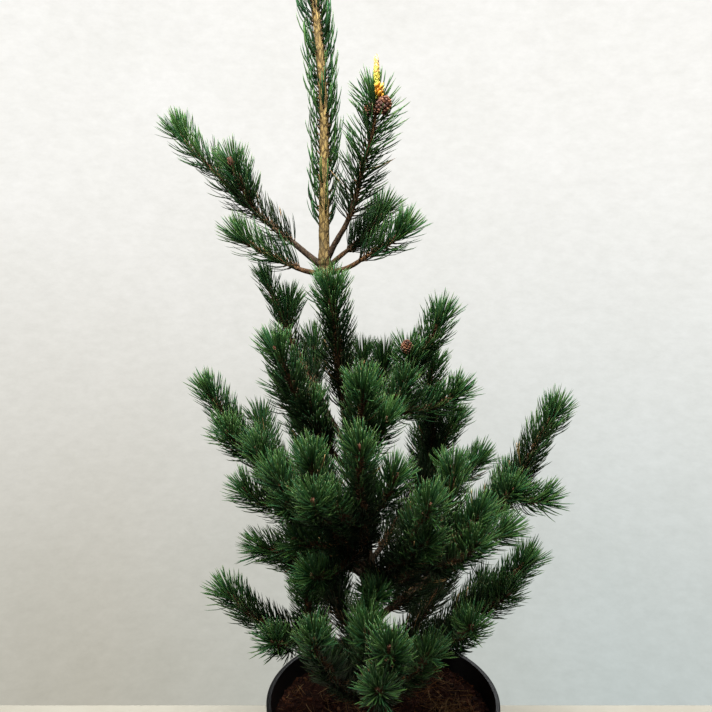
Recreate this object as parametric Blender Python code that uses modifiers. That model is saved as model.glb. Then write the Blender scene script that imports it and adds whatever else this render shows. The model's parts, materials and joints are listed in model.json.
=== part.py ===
"""A young pine in a round nursery container: the container, the potting soil, the trunk with its leader,
and every bough as a wooden stem with its own needles, three small cones and one new candle.

Metres, +Z up. The origin is the centre of the container's flat base, and -Y is the front.
A bough's azimuth is counted from +X (the right) towards +Y (the back), so 180 is left and 270 is front.
"""

from math import cos, radians, sin, tau

import bmesh
import bpy
import numpy as np
from mathutils import Matrix, Vector

NAME = "potted_pine"
GAP = 0.0003  # clearance between pieces that touch

# The container
POT_HEIGHT = 0.210
RIM_RADIUS = 0.130
RIM_BAND = 0.012  # height of the thick band round the rim
RIM_OVERHANG = 0.0035  # how far the band stands out from the wall
BASE_RADIUS = 0.098
POT_WALL = 0.0018
POT_FLOOR = 0.0025
BASE_ROUND = 0.004
RIM_ROUND = 0.0012
TURN_STEPS = 36
DRAIN_HOLES = 6
DRAIN_RADIUS = 0.006
DRAIN_CIRCLE = 0.072

# The soil
SOIL_TOP = 0.186  # at the trunk
SOIL_EDGE = 0.182  # at the container's wall

# The trunk and its leader: (x, y, z, radius), from the foot in the soil to the tip
TRUNK = [
    (0.001, 0.000, 0.125, 0.0095),
    (0.000, 0.000, 0.184, 0.0108),
    (-0.005, 0.000, 0.240, 0.0094),
    (-0.014, 0.001, 0.325, 0.0084),
    (-0.020, 0.000, 0.390, 0.0078),
    (-0.030, -0.001, 0.480, 0.0072),
    (-0.043, 0.000, 0.560, 0.0066),
    (-0.054, 0.001, 0.635, 0.0061),
    (-0.062, 0.000, 0.690, 0.0058),
    (-0.062, 0.000, 0.760, 0.0048),
    (-0.061, 0.000, 0.840, 0.0044),
    (-0.066, 0.000, 0.910, 0.0040),
    (-0.075, 0.000, 0.985, 0.0026),
]
LEADER_NEEDLES_FROM = 0.735  # height where the leader's needles begin

# The boughs, tier by tier from the top:
# name: (height on the trunk, azimuth, rise at the trunk, rise at the tip, length,
#        side shoots as (fraction along the bough, azimuth, rise at its foot, rise at its tip, length))
BOUGHS = {
    "1_left": (0.688, 169, 33, 49, 0.202, [(0.46, 230, 50, 66, 0.048)]),
    "1_low_left": (0.681, 188, 10, 38, 0.092, []),
    "1_right": (0.692, 338, 58, 84, 0.168, []),
    "1_low_right": (0.682, 346, 14, 42, 0.093, []),
    "1_back": (0.686, 40, 27, 45, 0.098, []),
    "2_left": (0.486, 162, 57, 67, 0.208, [(0.42, 95, 28, 48, 0.060), (0.72, 90, 66, 80, 0.032)]),
    "2_front_left": (0.466, 227, 41, 67, 0.185, [(0.55, 180, 38, 58, 0.038), (0.35, 238, 50, 74, 0.052)]),
    "2_front_top": (0.497, 254, 59, 75, 0.188, []),
    "2_front": (0.473, 272, 25, 61, 0.172, [(0.45, 313, 34, 58, 0.050)]),
    "2_right": (
        0.488, 1, 54, 64, 0.172,
        [(0.30, 328, 45, 65, 0.050), (0.35, 330, -2, 38, 0.084), (0.62, 265, 60, 70, 0.024)],
    ),
    "2_back": (0.475, 60, 48, 74, 0.125, [(0.40, 100, 46, 66, 0.082)]),
    "3_left": (0.366, 177, 38, 60, 0.256, [(0.66, 227, 35, 55, 0.050), (0.55, 108, 30, 50, 0.075)]),
    "3_low_left": (
        0.348, 209, 42, 64, 0.210,
        [(0.55, 194, 18, 44, 0.068), (0.32, 206, -2, 22, 0.078), (0.60, 263, 15, 40, 0.058)],
    ),
    "3_front_left": (
        0.362, 250, 34, 62, 0.225,
        [
            (0.62, 258, 15, 50, 0.080), (0.34, 207, 2, 32, 0.058),
            (0.55, 185, 35, 55, 0.080), (0.25, 241, -8, 22, 0.080),
        ],
    ),
    "3_front": (0.380, 267, 29, 60, 0.238, [(0.50, 310, 38, 63, 0.073), (0.50, 246, 22, 48, 0.074)]),
    "3_front_right": (0.354, 286, 23, 57, 0.226, [(0.50, 292, 20, 56, 0.072), (0.22, 262, -6, 26, 0.082)]),
    "3_right_front": (
        0.338, 312, 27, 55, 0.198,
        [(0.52, 303, 18, 48, 0.088), (0.66, 356, 8, 34, 0.066), (0.60, 8, 72, 88, 0.094)],
    ),
    "3_right": (
        0.300, 357, 38, 66, 0.306,
        [(0.52, 43, 32, 50, 0.068), (0.68, 323, -18, 16, 0.042), (0.58, 298, 34, 54, 0.052)],
    ),
    "3_back_right": (
        0.366, 38, 35, 60, 0.190,
        [(0.50, 5, 14, 42, 0.080), (0.54, 84, 20, 45, 0.088), (0.74, 190, 80, 92, 0.110)],
    ),
    "3_back_left": (0.344, 129, 37, 61, 0.198, [(0.50, 158, 20, 46, 0.078), (0.54, 93, 23, 48, 0.076)]),
    "4_left": (0.246, 198, 22, 46, 0.200, [(0.38, 262, 44, 68, 0.122), (0.52, 255, 14, 40, 0.078)]),
    "4_front_left": (0.222, 250, 23, 57, 0.250, [(0.34, 276, 52, 74, 0.130)]),
    "4_front": (
        0.238, 271, 21, 52, 0.262,
        [(0.61, 263, 12, 42, 0.084), (0.52, 248, 47, 72, 0.088), (0.26, 302, 28, 58, 0.112)],
    ),
    "4_right": (
        0.250, 345, 30, 52, 0.209,
        [(0.36, 281, 18, 48, 0.138), (0.60, 312, 25, 50, 0.058), (0.48, 28, 30, 50, 0.055)],
    ),
    "4_back_right": (0.234, 39, 31, 55, 0.198, [(0.52, 77, 14, 40, 0.080), (0.40, 104, 14, 34, 0.066)]),
    "4_back_left": (0.228, 134, 36, 60, 0.193, [(0.52, 171, 27, 52, 0.078), (0.40, 102, 26, 46, 0.075)]),
}
MAIN_STEPS = 5
SIDE_STEPS = 2
STEM_BASE_RADIUS = 0.0022  # of a stem with no length, to which its length adds
STEM_RADIUS_PER_METRE = 0.0055
STEM_TIP_RADIUS = 0.0014
SIDE_SHARE = 0.72  # of its parent's radius at a side shoot's foot

# The needles: each stem's needles fill a sleeve round it
NEEDLE_REACH = 0.026  # the sleeve's radius where nothing crowds it
BARE_FRACTION = 0.30  # of a bough near the trunk, without needles
BARE_BEFORE_SIDE = 0.06  # of a bough: the needles begin this much before the first side shoot
SLEEVE_FOOT = 0.35  # of the reach, where the needles begin
TIP_RINGS = [(0.027, 0.50)]  # (distance past the stem's tip, share of the reach)
SHARED_GAP = 0.46  # of the way to a neighbour's stem that a sleeve may fill
STEM_TILT = 0.19  # radians, by which the corners of a stem are turned from those of its needles
SIDE_TILT = 0.33
SAMPLES = 8  # points that stand for each step of a stem when the distances are taken

# The cones and the candle of this year's growth
CONE_RADIUS = 0.0074
CONE_STRETCH = 1.12  # length over width
CONES = {  # name: (bough, its stem, fraction along that, direction away from it, share of the full size)
    "cone_top": ("1_right", 0, 0.97, (1.0, -0.75, 0.0), 1.0),
    "cone_top_left": ("1_right", 0, 0.95, (-1.0, -0.35, 0.0), 0.72),
    "cone_middle": ("2_right", 3, 1.00, (-0.2, -0.3, 1.0), 0.78),
}
CANDLE_BOUGH = "1_right"
CANDLE = [  # (height, radius)
    (0.0, 0.0017),
    (0.004, 0.0030),
    (0.020, 0.0031),
    (0.034, 0.0022),
    (0.043, 0.0009),
]

BARK = (0.085, 0.048, 0.022)
YOUNG_BARK = (0.30, 0.17, 0.065)
NEEDLE_GREEN = (0.022, 0.075, 0.040)
CONE_BROWN = (0.12, 0.045, 0.022)
CANDLE_YELLOW = (0.78, 0.47, 0.09)
PLASTIC_BLACK = (0.012, 0.012, 0.013)
SOIL_BROWN = (0.050, 0.022, 0.013)


def new_collection(name, hidden=False):
    made = bpy.data.collections.new(name)
    bpy.context.scene.collection.children.link(made)
    made.hide_render = hidden
    return made


def add_object(name, mesh, collection):
    made = bpy.data.objects.new(name, mesh)
    collection.objects.link(made)
    return made


def finish(piece, colour, roughness):
    """Gives a piece its own material and shades its round sides smooth."""
    material = bpy.data.materials.new(piece.name)
    material.use_nodes = True
    shader = material.node_tree.nodes["Principled BSDF"]
    shader.inputs["Base Color"].default_value = (*colour, 1.0)
    shader.inputs["Roughness"].default_value = roughness
    shader.inputs["Metallic"].default_value = 0.0
    piece.data.materials.append(material)
    piece.data.shade_smooth()
    piece.data.set_sharp_from_angle(angle=radians(50))


def combine(piece, other, operation):
    """Joins or cuts a piece with another by a live Boolean; the other is only a guide."""
    other.hide_render = True
    other.display_type = "WIRE"
    boolean = piece.modifiers.new(other.name, "BOOLEAN")
    boolean.operation = operation
    boolean.object = other
    boolean.solver = "EXACT"


def tube(name, points, radii, sides, collection, tilt=0.0):
    """A closed round tube through the points, made as a curve and then turned into a mesh.

    Tubes that are to be joined or cut get unlike tilts, so that no corner of one lies on another's edge.
    """
    curve = bpy.data.curves.new(name, "CURVE")
    curve.dimensions = "3D"
    curve.bevel_depth = 1.0
    curve.bevel_resolution = (sides - 4) // 2
    curve.use_fill_caps = True
    spline = curve.splines.new("POLY")
    spline.points.add(len(points) - 1)
    for spot, point, radius in zip(spline.points, points, radii):
        spot.co = (*point, 1.0)
        spot.radius = radius
        spot.tilt = tilt
    guide = add_object(name + "_curve", curve, collection)
    bpy.context.view_layer.update()
    graph = bpy.context.evaluated_depsgraph_get()
    mesh = bpy.data.meshes.new_from_object(guide.evaluated_get(graph))
    bpy.data.objects.remove(guide)
    work = bmesh.new()
    work.from_mesh(mesh)
    bmesh.ops.remove_doubles(work, verts=work.verts, dist=0.00001)
    work.to_mesh(mesh)
    work.free()
    return add_object(name, mesh, collection)


def turned(name, profile, collection):
    """A solid turned about Z; its profile goes over the top and down the outer side."""
    work = bmesh.new()
    corners = [work.verts.new((x, 0.0, z)) for x, z in profile]
    for first, second in zip(corners, corners[1:]):
        work.edges.new((first, second))
    mesh = bpy.data.meshes.new(name)
    work.to_mesh(mesh)
    work.free()
    made = add_object(name, mesh, collection)
    screw = made.modifiers.new("turn", "SCREW")
    screw.steps = TURN_STEPS
    screw.render_steps = TURN_STEPS
    screw.use_merge_vertices = True
    screw.merge_threshold = 0.00005
    return made


def stem_points(start, azimuth, rise_start, rise_end, length, steps):
    """Points of a stem that sets off at one angle above the level and bends evenly to another."""
    turn = radians(azimuth)
    points = [Vector(start)]
    for step in range(steps):
        rise = radians(rise_start + (rise_end - rise_start) * (step + 0.5) / steps)
        heading = Vector((cos(rise) * cos(turn), cos(rise) * sin(turn), sin(rise)))
        points.append(points[-1] + heading * length / steps)
    return points


def point_at(points, fraction):
    """The point that lies this fraction of the way along evenly spaced points."""
    place = fraction * (len(points) - 1)
    first = min(int(place), len(points) - 2)
    return points[first].lerp(points[first + 1], place - first)


def trunk_centre(height):
    for low, high in zip(TRUNK, TRUNK[1:]):
        if low[2] <= height <= high[2]:
            share = (height - low[2]) / (high[2] - low[2])
            return Vector(low[:3]).lerp(Vector(high[:3]), share)
    raise ValueError(f"no trunk at {height}")


def grow(bough):
    """The stems of one bough: its own first, then its side shoots. A stem is (points, radii)."""
    height, azimuth, rise_start, rise_end, length, shoots = bough
    points = stem_points(trunk_centre(height), azimuth, rise_start, rise_end, length, MAIN_STEPS)
    foot = STEM_BASE_RADIUS + STEM_RADIUS_PER_METRE * length
    stems = [(points, np.linspace(foot, STEM_TIP_RADIUS, MAIN_STEPS + 1))]
    for fraction, azimuth, rise_start, rise_end, length in shoots:
        side = stem_points(point_at(points, fraction), azimuth, rise_start, rise_end, length, SIDE_STEPS)
        side_foot = SIDE_SHARE * (foot + (STEM_TIP_RADIUS - foot) * fraction)
        stems.append((side, np.linspace(side_foot, STEM_TIP_RADIUS, SIDE_STEPS + 1)))
    return stems


def sleeve_line(points, bare):
    """The centre line of the needles on a stem, with each point's share of the full reach."""
    steps = len(points) - 1
    kept = [step for step in range(steps + 1) if step / steps > bare + 0.02]
    line = [point_at(points, bare)] + [points[step] for step in kept]
    shares = [SLEEVE_FOOT] + [1.0] * len(kept)
    shares[1] = 0.85
    heading = (points[-1] - points[-2]).normalized()
    for distance, share in TIP_RINGS:
        line.append(points[-1] + heading * distance)
        shares.append(share)
    return line, shares


def sampled(line):
    """Close points all along a line, to measure distances from."""
    spots = []
    for first, second in zip(line, line[1:]):
        spots += [first.lerp(second, step / SAMPLES) for step in range(SAMPLES)]
    return np.array(spots + [line[-1]])


def sleeve_radii(line, shares, others):
    """Each ring's radius: the needles' reach, or less where other stems come near either side of it."""
    spots = sampled(line)
    room = np.min(np.linalg.norm(spots[:, None] - others[None], axis=2), axis=1) * SHARED_GAP
    room = np.minimum(room, spots[:, 2] - POT_HEIGHT - 10 * GAP)
    radii = []
    for ring, share in enumerate(shares):
        near = room[max(ring - 1, 0) * SAMPLES : (ring + 1) * SAMPLES + 1]
        radii.append(min(share * NEEDLE_REACH, near.min()))
    return radii


def bare_part(bough):
    """The fraction of a bough that has no needles, from the trunk outwards."""
    first_side = min([shoot[0] for shoot in bough[5]], default=1.0)
    return max(min(BARE_FRACTION, first_side - BARE_BEFORE_SIDE), 0.1)


def make_pot(parts, guides):
    wall_foot = BASE_RADIUS - POT_WALL
    wall_top = RIM_RADIUS - RIM_OVERHANG
    pot = turned(
        "pot",
        [
            (0.0, POT_FLOOR),
            (wall_foot - BASE_ROUND, POT_FLOOR),
            (wall_foot, POT_FLOOR + BASE_ROUND),
            (wall_top - POT_WALL, POT_HEIGHT - RIM_BAND),
            (wall_top - POT_WALL, POT_HEIGHT - RIM_ROUND),
            (wall_top - POT_WALL + RIM_ROUND, POT_HEIGHT),
            (RIM_RADIUS - RIM_ROUND, POT_HEIGHT),
            (RIM_RADIUS, POT_HEIGHT - RIM_ROUND),
            (RIM_RADIUS, POT_HEIGHT - RIM_BAND),
            (wall_top, POT_HEIGHT - RIM_BAND - RIM_ROUND),
            (BASE_RADIUS, BASE_ROUND),
            (BASE_RADIUS - BASE_ROUND, 0.0),
            (0.0, 0.0),
        ],
        parts,
    )
    for hole in range(DRAIN_HOLES):
        turn = tau * (hole + 0.43) / DRAIN_HOLES
        mesh = bpy.data.meshes.new(f"drain_{hole + 1}")
        work = bmesh.new()
        place = Matrix.Translation((DRAIN_CIRCLE * cos(turn), DRAIN_CIRCLE * sin(turn), POT_FLOOR / 2))
        bmesh.ops.create_cone(
            work, cap_ends=True, segments=12, radius1=DRAIN_RADIUS, radius2=DRAIN_RADIUS,
            depth=4 * POT_FLOOR, matrix=place,
        )
        work.to_mesh(mesh)
        work.free()
        combine(pot, add_object(mesh.name, mesh, guides), "DIFFERENCE")
    finish(pot, PLASTIC_BLACK, 0.45)


def make_soil(parts, trunk_room):
    """The root ball of potting soil: it follows the container's wall, and the trunk stands in its hole."""
    wall_foot = BASE_RADIUS - POT_WALL
    wall_top = RIM_RADIUS - RIM_OVERHANG - POT_WALL
    flare = (wall_top - wall_foot) / (POT_HEIGHT - RIM_BAND - POT_FLOOR - BASE_ROUND)
    edge = wall_foot + flare * (SOIL_EDGE - POT_FLOOR - BASE_ROUND) - 2 * GAP
    soil = turned(
        "potting_soil",
        [
            (0.0, SOIL_TOP),
            (0.6 * edge, SOIL_TOP - 0.001),
            (edge - 0.006, SOIL_EDGE),
            (edge, SOIL_EDGE - 0.004),
            (wall_foot - 2 * GAP, POT_FLOOR + BASE_ROUND + GAP),
            (wall_foot - BASE_ROUND - GAP, POT_FLOOR + GAP),
            (0.0, POT_FLOOR + GAP),
        ],
        parts,
    )
    combine(soil, trunk_room, "DIFFERENCE")
    finish(soil, SOIL_BROWN, 0.95)


def make_cone(name, parts, guides, boughs):
    """A small closed cone beside its stem, and a larger guide whose room opens to the stem's own room."""
    bough, number, fraction, direction, size = CONES[name]
    points, radii = boughs[bough][number]
    away = Vector(direction).normalized()
    radius = CONE_RADIUS * size
    stem = radii[int(fraction * (len(radii) - 1))]
    centre = point_at(points, fraction) + away * (radius + stem + 2 * GAP)
    made = []
    for label, extra, where in ((name, 0.0, parts), (name + "_room", 4 * GAP, guides)):
        work = bmesh.new()
        shape = Matrix.Diagonal((radius + extra, radius + extra, radius * CONE_STRETCH + extra, 1.0))
        bmesh.ops.create_uvsphere(
            work, u_segments=10, v_segments=6, radius=1.0, matrix=Matrix.Translation(centre) @ shape
        )
        mesh = bpy.data.meshes.new(label)
        work.to_mesh(mesh)
        work.free()
        made.append(add_object(label, mesh, where))
    cone, room = made
    finish(cone, CONE_BROWN, 0.7)
    return room


def make_candle(parts, guides, boughs):
    """The upright new shoot on the tip of the right-hand top bough."""
    foot = boughs[CANDLE_BOUGH][0][0][-1] + Vector((0.0, 0.0, 2 * GAP))
    points = [foot + Vector((0.0, 0.0, height)) for height, radius in CANDLE]
    candle = tube("candle", points, [radius for height, radius in CANDLE], 8, parts, STEM_TILT)
    finish(candle, CANDLE_YELLOW, 0.6)
    lower = [foot - Vector((0.0, 0.0, GAP))] + points[1:]
    return tube("candle_room", lower, [radius + GAP for height, radius in CANDLE], 8, guides, STEM_TILT)


def make_bough(name, stems, trunk_room, parts, guides):
    """The wooden stems of one bough as one solid, cut to sit against the trunk."""
    wood = tube("bough_" + name, *stems[0], 6, parts, STEM_TILT)
    for number, stem in enumerate(stems[1:]):
        combine(wood, tube(f"shoot_{name}_{number + 1}", *stem, 6, guides, STEM_TILT + SIDE_TILT), "UNION")
    combine(wood, trunk_room, "DIFFERENCE")
    finish(wood, YOUNG_BARK if name.startswith("1") else BARK, 0.8)


def make_needles(name, stems, bare, others, rooms, parts, guides):
    """All the needles of one bough as one soft solid, with room in it for the stems, cones and candle."""
    line, shares = sleeve_line(stems[0][0], bare)
    needles = tube("needles_" + name, line, sleeve_radii(line, shares, others), 8, parts)
    for number, (points, radii) in enumerate(stems[1:]):
        line, shares = sleeve_line(points, 0.0)
        radii = sleeve_radii(line, shares, others)
        sleeve = tube(f"tuft_{name}_{number + 1}", line, radii, 8, guides, SIDE_TILT)
        combine(needles, sleeve, "UNION")
    for number, (points, radii) in enumerate(stems):
        heading = (points[-1] - points[-2]).normalized()
        longer = points[:-1] + [points[-1] + heading * GAP]
        tilt = STEM_TILT + (SIDE_TILT if number else 0.0)
        room = tube(f"stem_room_{name}_{number}", longer, radii + GAP, 6, guides, tilt)
        combine(needles, room, "DIFFERENCE")
    for room in rooms:
        combine(needles, room, "DIFFERENCE")
    finish(needles, NEEDLE_GREEN, 0.6)


def make_leader_needles(trunk_room, others, parts):
    """The needles that clothe the leader, pressed upwards round it."""
    heights = [LEADER_NEEDLES_FROM, 0.78, 0.86, 0.94, TRUNK[-1][2]]
    line = [trunk_centre(height) for height in heights]
    shares = [SLEEVE_FOOT, 0.8, 0.9, 0.9, 0.85]
    for distance, share in TIP_RINGS:
        line.append(line[len(heights) - 1] + Vector((0.0, 0.0, distance)))
        shares.append(share)
    needles = tube("needles_leader", line, sleeve_radii(line, shares, others), 8, parts)
    combine(needles, trunk_room, "DIFFERENCE")
    finish(needles, NEEDLE_GREEN, 0.6)


def main():
    for old in list(bpy.data.objects):
        bpy.data.objects.remove(old)
    parts = new_collection(NAME)
    guides = new_collection("guides", hidden=True)

    centre = [Vector(spot[:3]) for spot in TRUNK]
    trunk = tube("trunk", centre, [spot[3] for spot in TRUNK], 8, parts, STEM_TILT)
    finish(trunk, BARK, 0.85)
    low, high = Vector((0.0, 0.0, -GAP)), Vector((0.0, 0.0, GAP))
    longer = [centre[0] + low] + centre[1:-1] + [centre[-1] + high]
    trunk_room = tube("trunk_room", longer, [spot[3] + GAP for spot in TRUNK], 8, guides, STEM_TILT)

    make_pot(parts, guides)
    make_soil(parts, trunk_room)

    boughs = {name: grow(bough) for name, bough in BOUGHS.items()}
    lines = {"trunk": [centre]}
    for name, stems in boughs.items():
        lines[name] = [stems[0][0] + sleeve_line(stems[0][0], 0.0)[0][-len(TIP_RINGS):]]
        lines[name] += [sleeve_line(points, 0.0)[0] for points, radii in stems[1:]]
    spots = {owner: np.vstack([sampled(line) for line in found]) for owner, found in lines.items()}

    rooms = {name: [] for name in BOUGHS}
    for cone in CONES:
        rooms[CONES[cone][0]].append(make_cone(cone, parts, guides, boughs))
    rooms[CANDLE_BOUGH].append(make_candle(parts, guides, boughs))

    for name, stems in boughs.items():
        others = np.vstack([found for owner, found in spots.items() if owner != name])
        make_bough(name, stems, trunk_room, parts, guides)
        make_needles(name, stems, bare_part(BOUGHS[name]), others, rooms[name], parts, guides)
    others = np.vstack([found for owner, found in spots.items() if owner != "trunk"])
    make_leader_needles(trunk_room, others, parts)


main()
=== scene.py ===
# %% [markdown]
# # A young pine in a black nursery container
#
# The real object is a pine of about a metre, raised for a few years in a round black plastic container.
# It is made of few kinds of piece: the container, the potting soil, the trunk that runs on into a long
# leader, about two dozen boughs in four tiers, and thousands of needles that grow in pairs.
#
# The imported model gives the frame: every piece here stands where its plain solid stands. The plan of the
# trunk and the boughs is repeated below, because the fine stems and needles grow along the same lines.

# %% Load the frame
import json
from math import cos, pi, radians, sin, tau

import bpy
import numpy as np
from mathutils import Matrix, Vector

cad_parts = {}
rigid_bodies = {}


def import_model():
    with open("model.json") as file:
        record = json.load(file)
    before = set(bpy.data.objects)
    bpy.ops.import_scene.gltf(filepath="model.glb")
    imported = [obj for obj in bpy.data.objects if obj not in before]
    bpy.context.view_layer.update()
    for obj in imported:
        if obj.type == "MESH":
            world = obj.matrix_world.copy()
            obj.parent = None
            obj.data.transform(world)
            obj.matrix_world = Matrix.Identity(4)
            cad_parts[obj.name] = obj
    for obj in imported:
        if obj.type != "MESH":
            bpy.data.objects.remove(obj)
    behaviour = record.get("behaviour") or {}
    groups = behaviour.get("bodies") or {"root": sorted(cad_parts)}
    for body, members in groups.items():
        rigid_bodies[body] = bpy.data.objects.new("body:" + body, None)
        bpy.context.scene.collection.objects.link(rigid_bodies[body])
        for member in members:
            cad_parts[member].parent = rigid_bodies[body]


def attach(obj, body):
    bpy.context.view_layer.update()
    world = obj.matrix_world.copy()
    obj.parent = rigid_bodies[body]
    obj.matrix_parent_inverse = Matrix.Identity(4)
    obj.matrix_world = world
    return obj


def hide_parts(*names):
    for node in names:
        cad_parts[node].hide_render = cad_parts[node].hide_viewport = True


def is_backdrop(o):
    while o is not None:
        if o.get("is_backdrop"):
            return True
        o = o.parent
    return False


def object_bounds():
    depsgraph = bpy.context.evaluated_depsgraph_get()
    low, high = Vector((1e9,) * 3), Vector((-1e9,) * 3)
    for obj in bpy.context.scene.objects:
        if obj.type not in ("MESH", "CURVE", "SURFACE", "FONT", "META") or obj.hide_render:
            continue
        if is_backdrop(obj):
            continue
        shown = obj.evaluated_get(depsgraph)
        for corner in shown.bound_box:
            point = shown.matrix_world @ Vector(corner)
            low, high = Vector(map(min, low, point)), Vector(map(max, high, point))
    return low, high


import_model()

FRAME_BOX = [list(corner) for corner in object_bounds()]
luck = np.random.default_rng(7)
UP = np.array([0.0, 0.0, 1.0])
print("frame box", FRAME_BOX)

# %% [markdown]
# ## The camera
#
# A camera is best set before the modelling, so that each piece can be judged in the view that matters. This
# one stands a little above the middle of the tree, about 0.8 m in front of it, and looks slightly down, so
# the leader runs out of the top of the frame and the container out of its foot.

# %% Camera
CAMERA_PLACE = (-0.030, -0.778, 0.734)
LOOKS_DOWN = radians(10)

bpy.ops.object.camera_add(location=CAMERA_PLACE, rotation=(pi / 2 - LOOKS_DOWN, 0.0, 0.0))
camera = bpy.context.object
camera.data.sensor_width = 36.0
camera.data.lens = 38.58
bpy.context.scene.camera = camera
print("camera", tuple(round(value, 3) for value in camera.location))

# %% [markdown]
# ## The plan of the tree
#
# A pine adds one tier of boughs a year: a whorl springs from one height on the trunk, and each bough
# spreads, then lifts its tip to the light. So a bough needs only a few numbers: its height on the trunk, the
# way it points, how steeply it starts and ends, its length, and the side shoots that leave it. Angles are in
# degrees, counted from +X, the right, towards +Y, the back.

# %% Trunk and boughs
POT_HEIGHT = 0.210
SOIL_TOP = 0.186
TRUNK = [
    (0.001, 0.000, 0.125, 0.0095),
    (0.000, 0.000, 0.184, 0.0108),
    (-0.005, 0.000, 0.240, 0.0094),
    (-0.014, 0.001, 0.325, 0.0084),
    (-0.020, 0.000, 0.390, 0.0078),
    (-0.030, -0.001, 0.480, 0.0072),
    (-0.043, 0.000, 0.560, 0.0066),
    (-0.054, 0.001, 0.635, 0.0061),
    (-0.062, 0.000, 0.690, 0.0058),
    (-0.062, 0.000, 0.760, 0.0048),
    (-0.061, 0.000, 0.840, 0.0044),
    (-0.066, 0.000, 0.910, 0.0040),
    (-0.075, 0.000, 0.985, 0.0026),
]
# Where the numbers in BOUGHS come from: most tips were picked by eye on the photo, their depths were guessed,
# and a helper script turned them into azimuth, rise and length. Some were then changed one by one. They
# aren't dimensions that were chosen or measured, and the azimuths, which follow from guessed depths, are less
# exact than they look.
BOUGHS = {
    "1_left": (0.688, 169, 33, 49, 0.202, [(0.46, 230, 50, 66, 0.048)]),
    "1_low_left": (0.681, 188, 10, 38, 0.092, []),
    "1_right": (0.692, 338, 58, 84, 0.168, []),
    "1_low_right": (0.682, 346, 14, 42, 0.093, []),
    "1_back": (0.686, 40, 27, 45, 0.098, []),
    "2_left": (0.486, 162, 57, 67, 0.208, [(0.42, 95, 28, 48, 0.060), (0.72, 90, 66, 80, 0.032)]),
    "2_front_left": (0.466, 227, 41, 67, 0.185, [(0.55, 180, 38, 58, 0.038), (0.35, 238, 50, 74, 0.052)]),
    "2_front_top": (0.497, 254, 59, 75, 0.188, []),
    "2_front": (0.473, 272, 25, 61, 0.172, [(0.45, 313, 34, 58, 0.050)]),
    "2_right": (
        0.488, 1, 54, 64, 0.172,
        [(0.30, 328, 45, 65, 0.050), (0.35, 330, -2, 38, 0.084), (0.62, 265, 60, 70, 0.024)],
    ),
    "2_back": (0.475, 60, 48, 74, 0.125, [(0.40, 100, 46, 66, 0.082)]),
    "3_left": (0.366, 177, 38, 60, 0.256, [(0.66, 227, 35, 55, 0.050), (0.55, 108, 30, 50, 0.075)]),
    "3_low_left": (
        0.348, 209, 42, 64, 0.210,
        [(0.55, 194, 18, 44, 0.068), (0.32, 206, -2, 22, 0.078), (0.60, 263, 15, 40, 0.058)],
    ),
    "3_front_left": (
        0.362, 250, 34, 62, 0.225,
        [
            (0.62, 258, 15, 50, 0.080), (0.34, 207, 2, 32, 0.058),
            (0.55, 185, 35, 55, 0.080), (0.25, 241, -8, 22, 0.080),
        ],
    ),
    "3_front": (0.380, 267, 29, 60, 0.238, [(0.50, 310, 38, 63, 0.073), (0.50, 246, 22, 48, 0.074)]),
    "3_front_right": (0.354, 286, 23, 57, 0.226, [(0.50, 292, 20, 56, 0.072), (0.22, 262, -6, 26, 0.082)]),
    "3_right_front": (
        0.338, 312, 27, 55, 0.198,
        [(0.52, 303, 18, 48, 0.088), (0.66, 356, 8, 34, 0.066), (0.60, 8, 72, 88, 0.094)],
    ),
    "3_right": (
        0.300, 357, 38, 66, 0.306,
        [(0.52, 43, 32, 50, 0.068), (0.68, 323, -18, 16, 0.042), (0.58, 298, 34, 54, 0.052)],
    ),
    "3_back_right": (
        0.366, 38, 35, 60, 0.190,
        [(0.50, 5, 14, 42, 0.080), (0.54, 84, 20, 45, 0.088), (0.74, 190, 80, 92, 0.110)],
    ),
    "3_back_left": (0.344, 129, 37, 61, 0.198, [(0.50, 158, 20, 46, 0.078), (0.54, 93, 23, 48, 0.076)]),
    "4_left": (0.246, 198, 22, 46, 0.200, [(0.38, 262, 44, 68, 0.122), (0.52, 255, 14, 40, 0.078)]),
    "4_front_left": (0.222, 250, 23, 57, 0.250, [(0.34, 276, 52, 74, 0.130)]),
    "4_front": (
        0.238, 271, 21, 52, 0.262,
        [(0.61, 263, 12, 42, 0.084), (0.52, 248, 47, 72, 0.088), (0.26, 302, 28, 58, 0.112)],
    ),
    "4_right": (
        0.250, 345, 30, 52, 0.209,
        [(0.36, 281, 18, 48, 0.138), (0.60, 312, 25, 50, 0.058), (0.48, 28, 30, 50, 0.055)],
    ),
    "4_back_right": (0.234, 39, 31, 55, 0.198, [(0.52, 77, 14, 40, 0.080), (0.40, 104, 14, 34, 0.066)]),
    "4_back_left": (0.228, 134, 36, 60, 0.193, [(0.52, 171, 27, 52, 0.078), (0.40, 102, 26, 46, 0.075)]),
}
print(len(BOUGHS), "boughs,", sum(len(bough[5]) for bough in BOUGHS.values()), "side shoots")

# %% [markdown]
# A shoot that starts at one angle and ends at another bends evenly in between, so its line is a short walk:
# at each step the heading turns a little. A faint sway keeps it from looking drawn with a ruler.

# %% Lines of the stems
STEM_STEP = 0.004  # metres between two points of a stem
SWAY = 0.0011


def as_heading(azimuth, rise):
    """Unit vectors for angles in radians."""
    return np.stack([np.cos(rise) * np.cos(azimuth), np.cos(rise) * np.sin(azimuth), np.sin(rise)], axis=-1)


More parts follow.
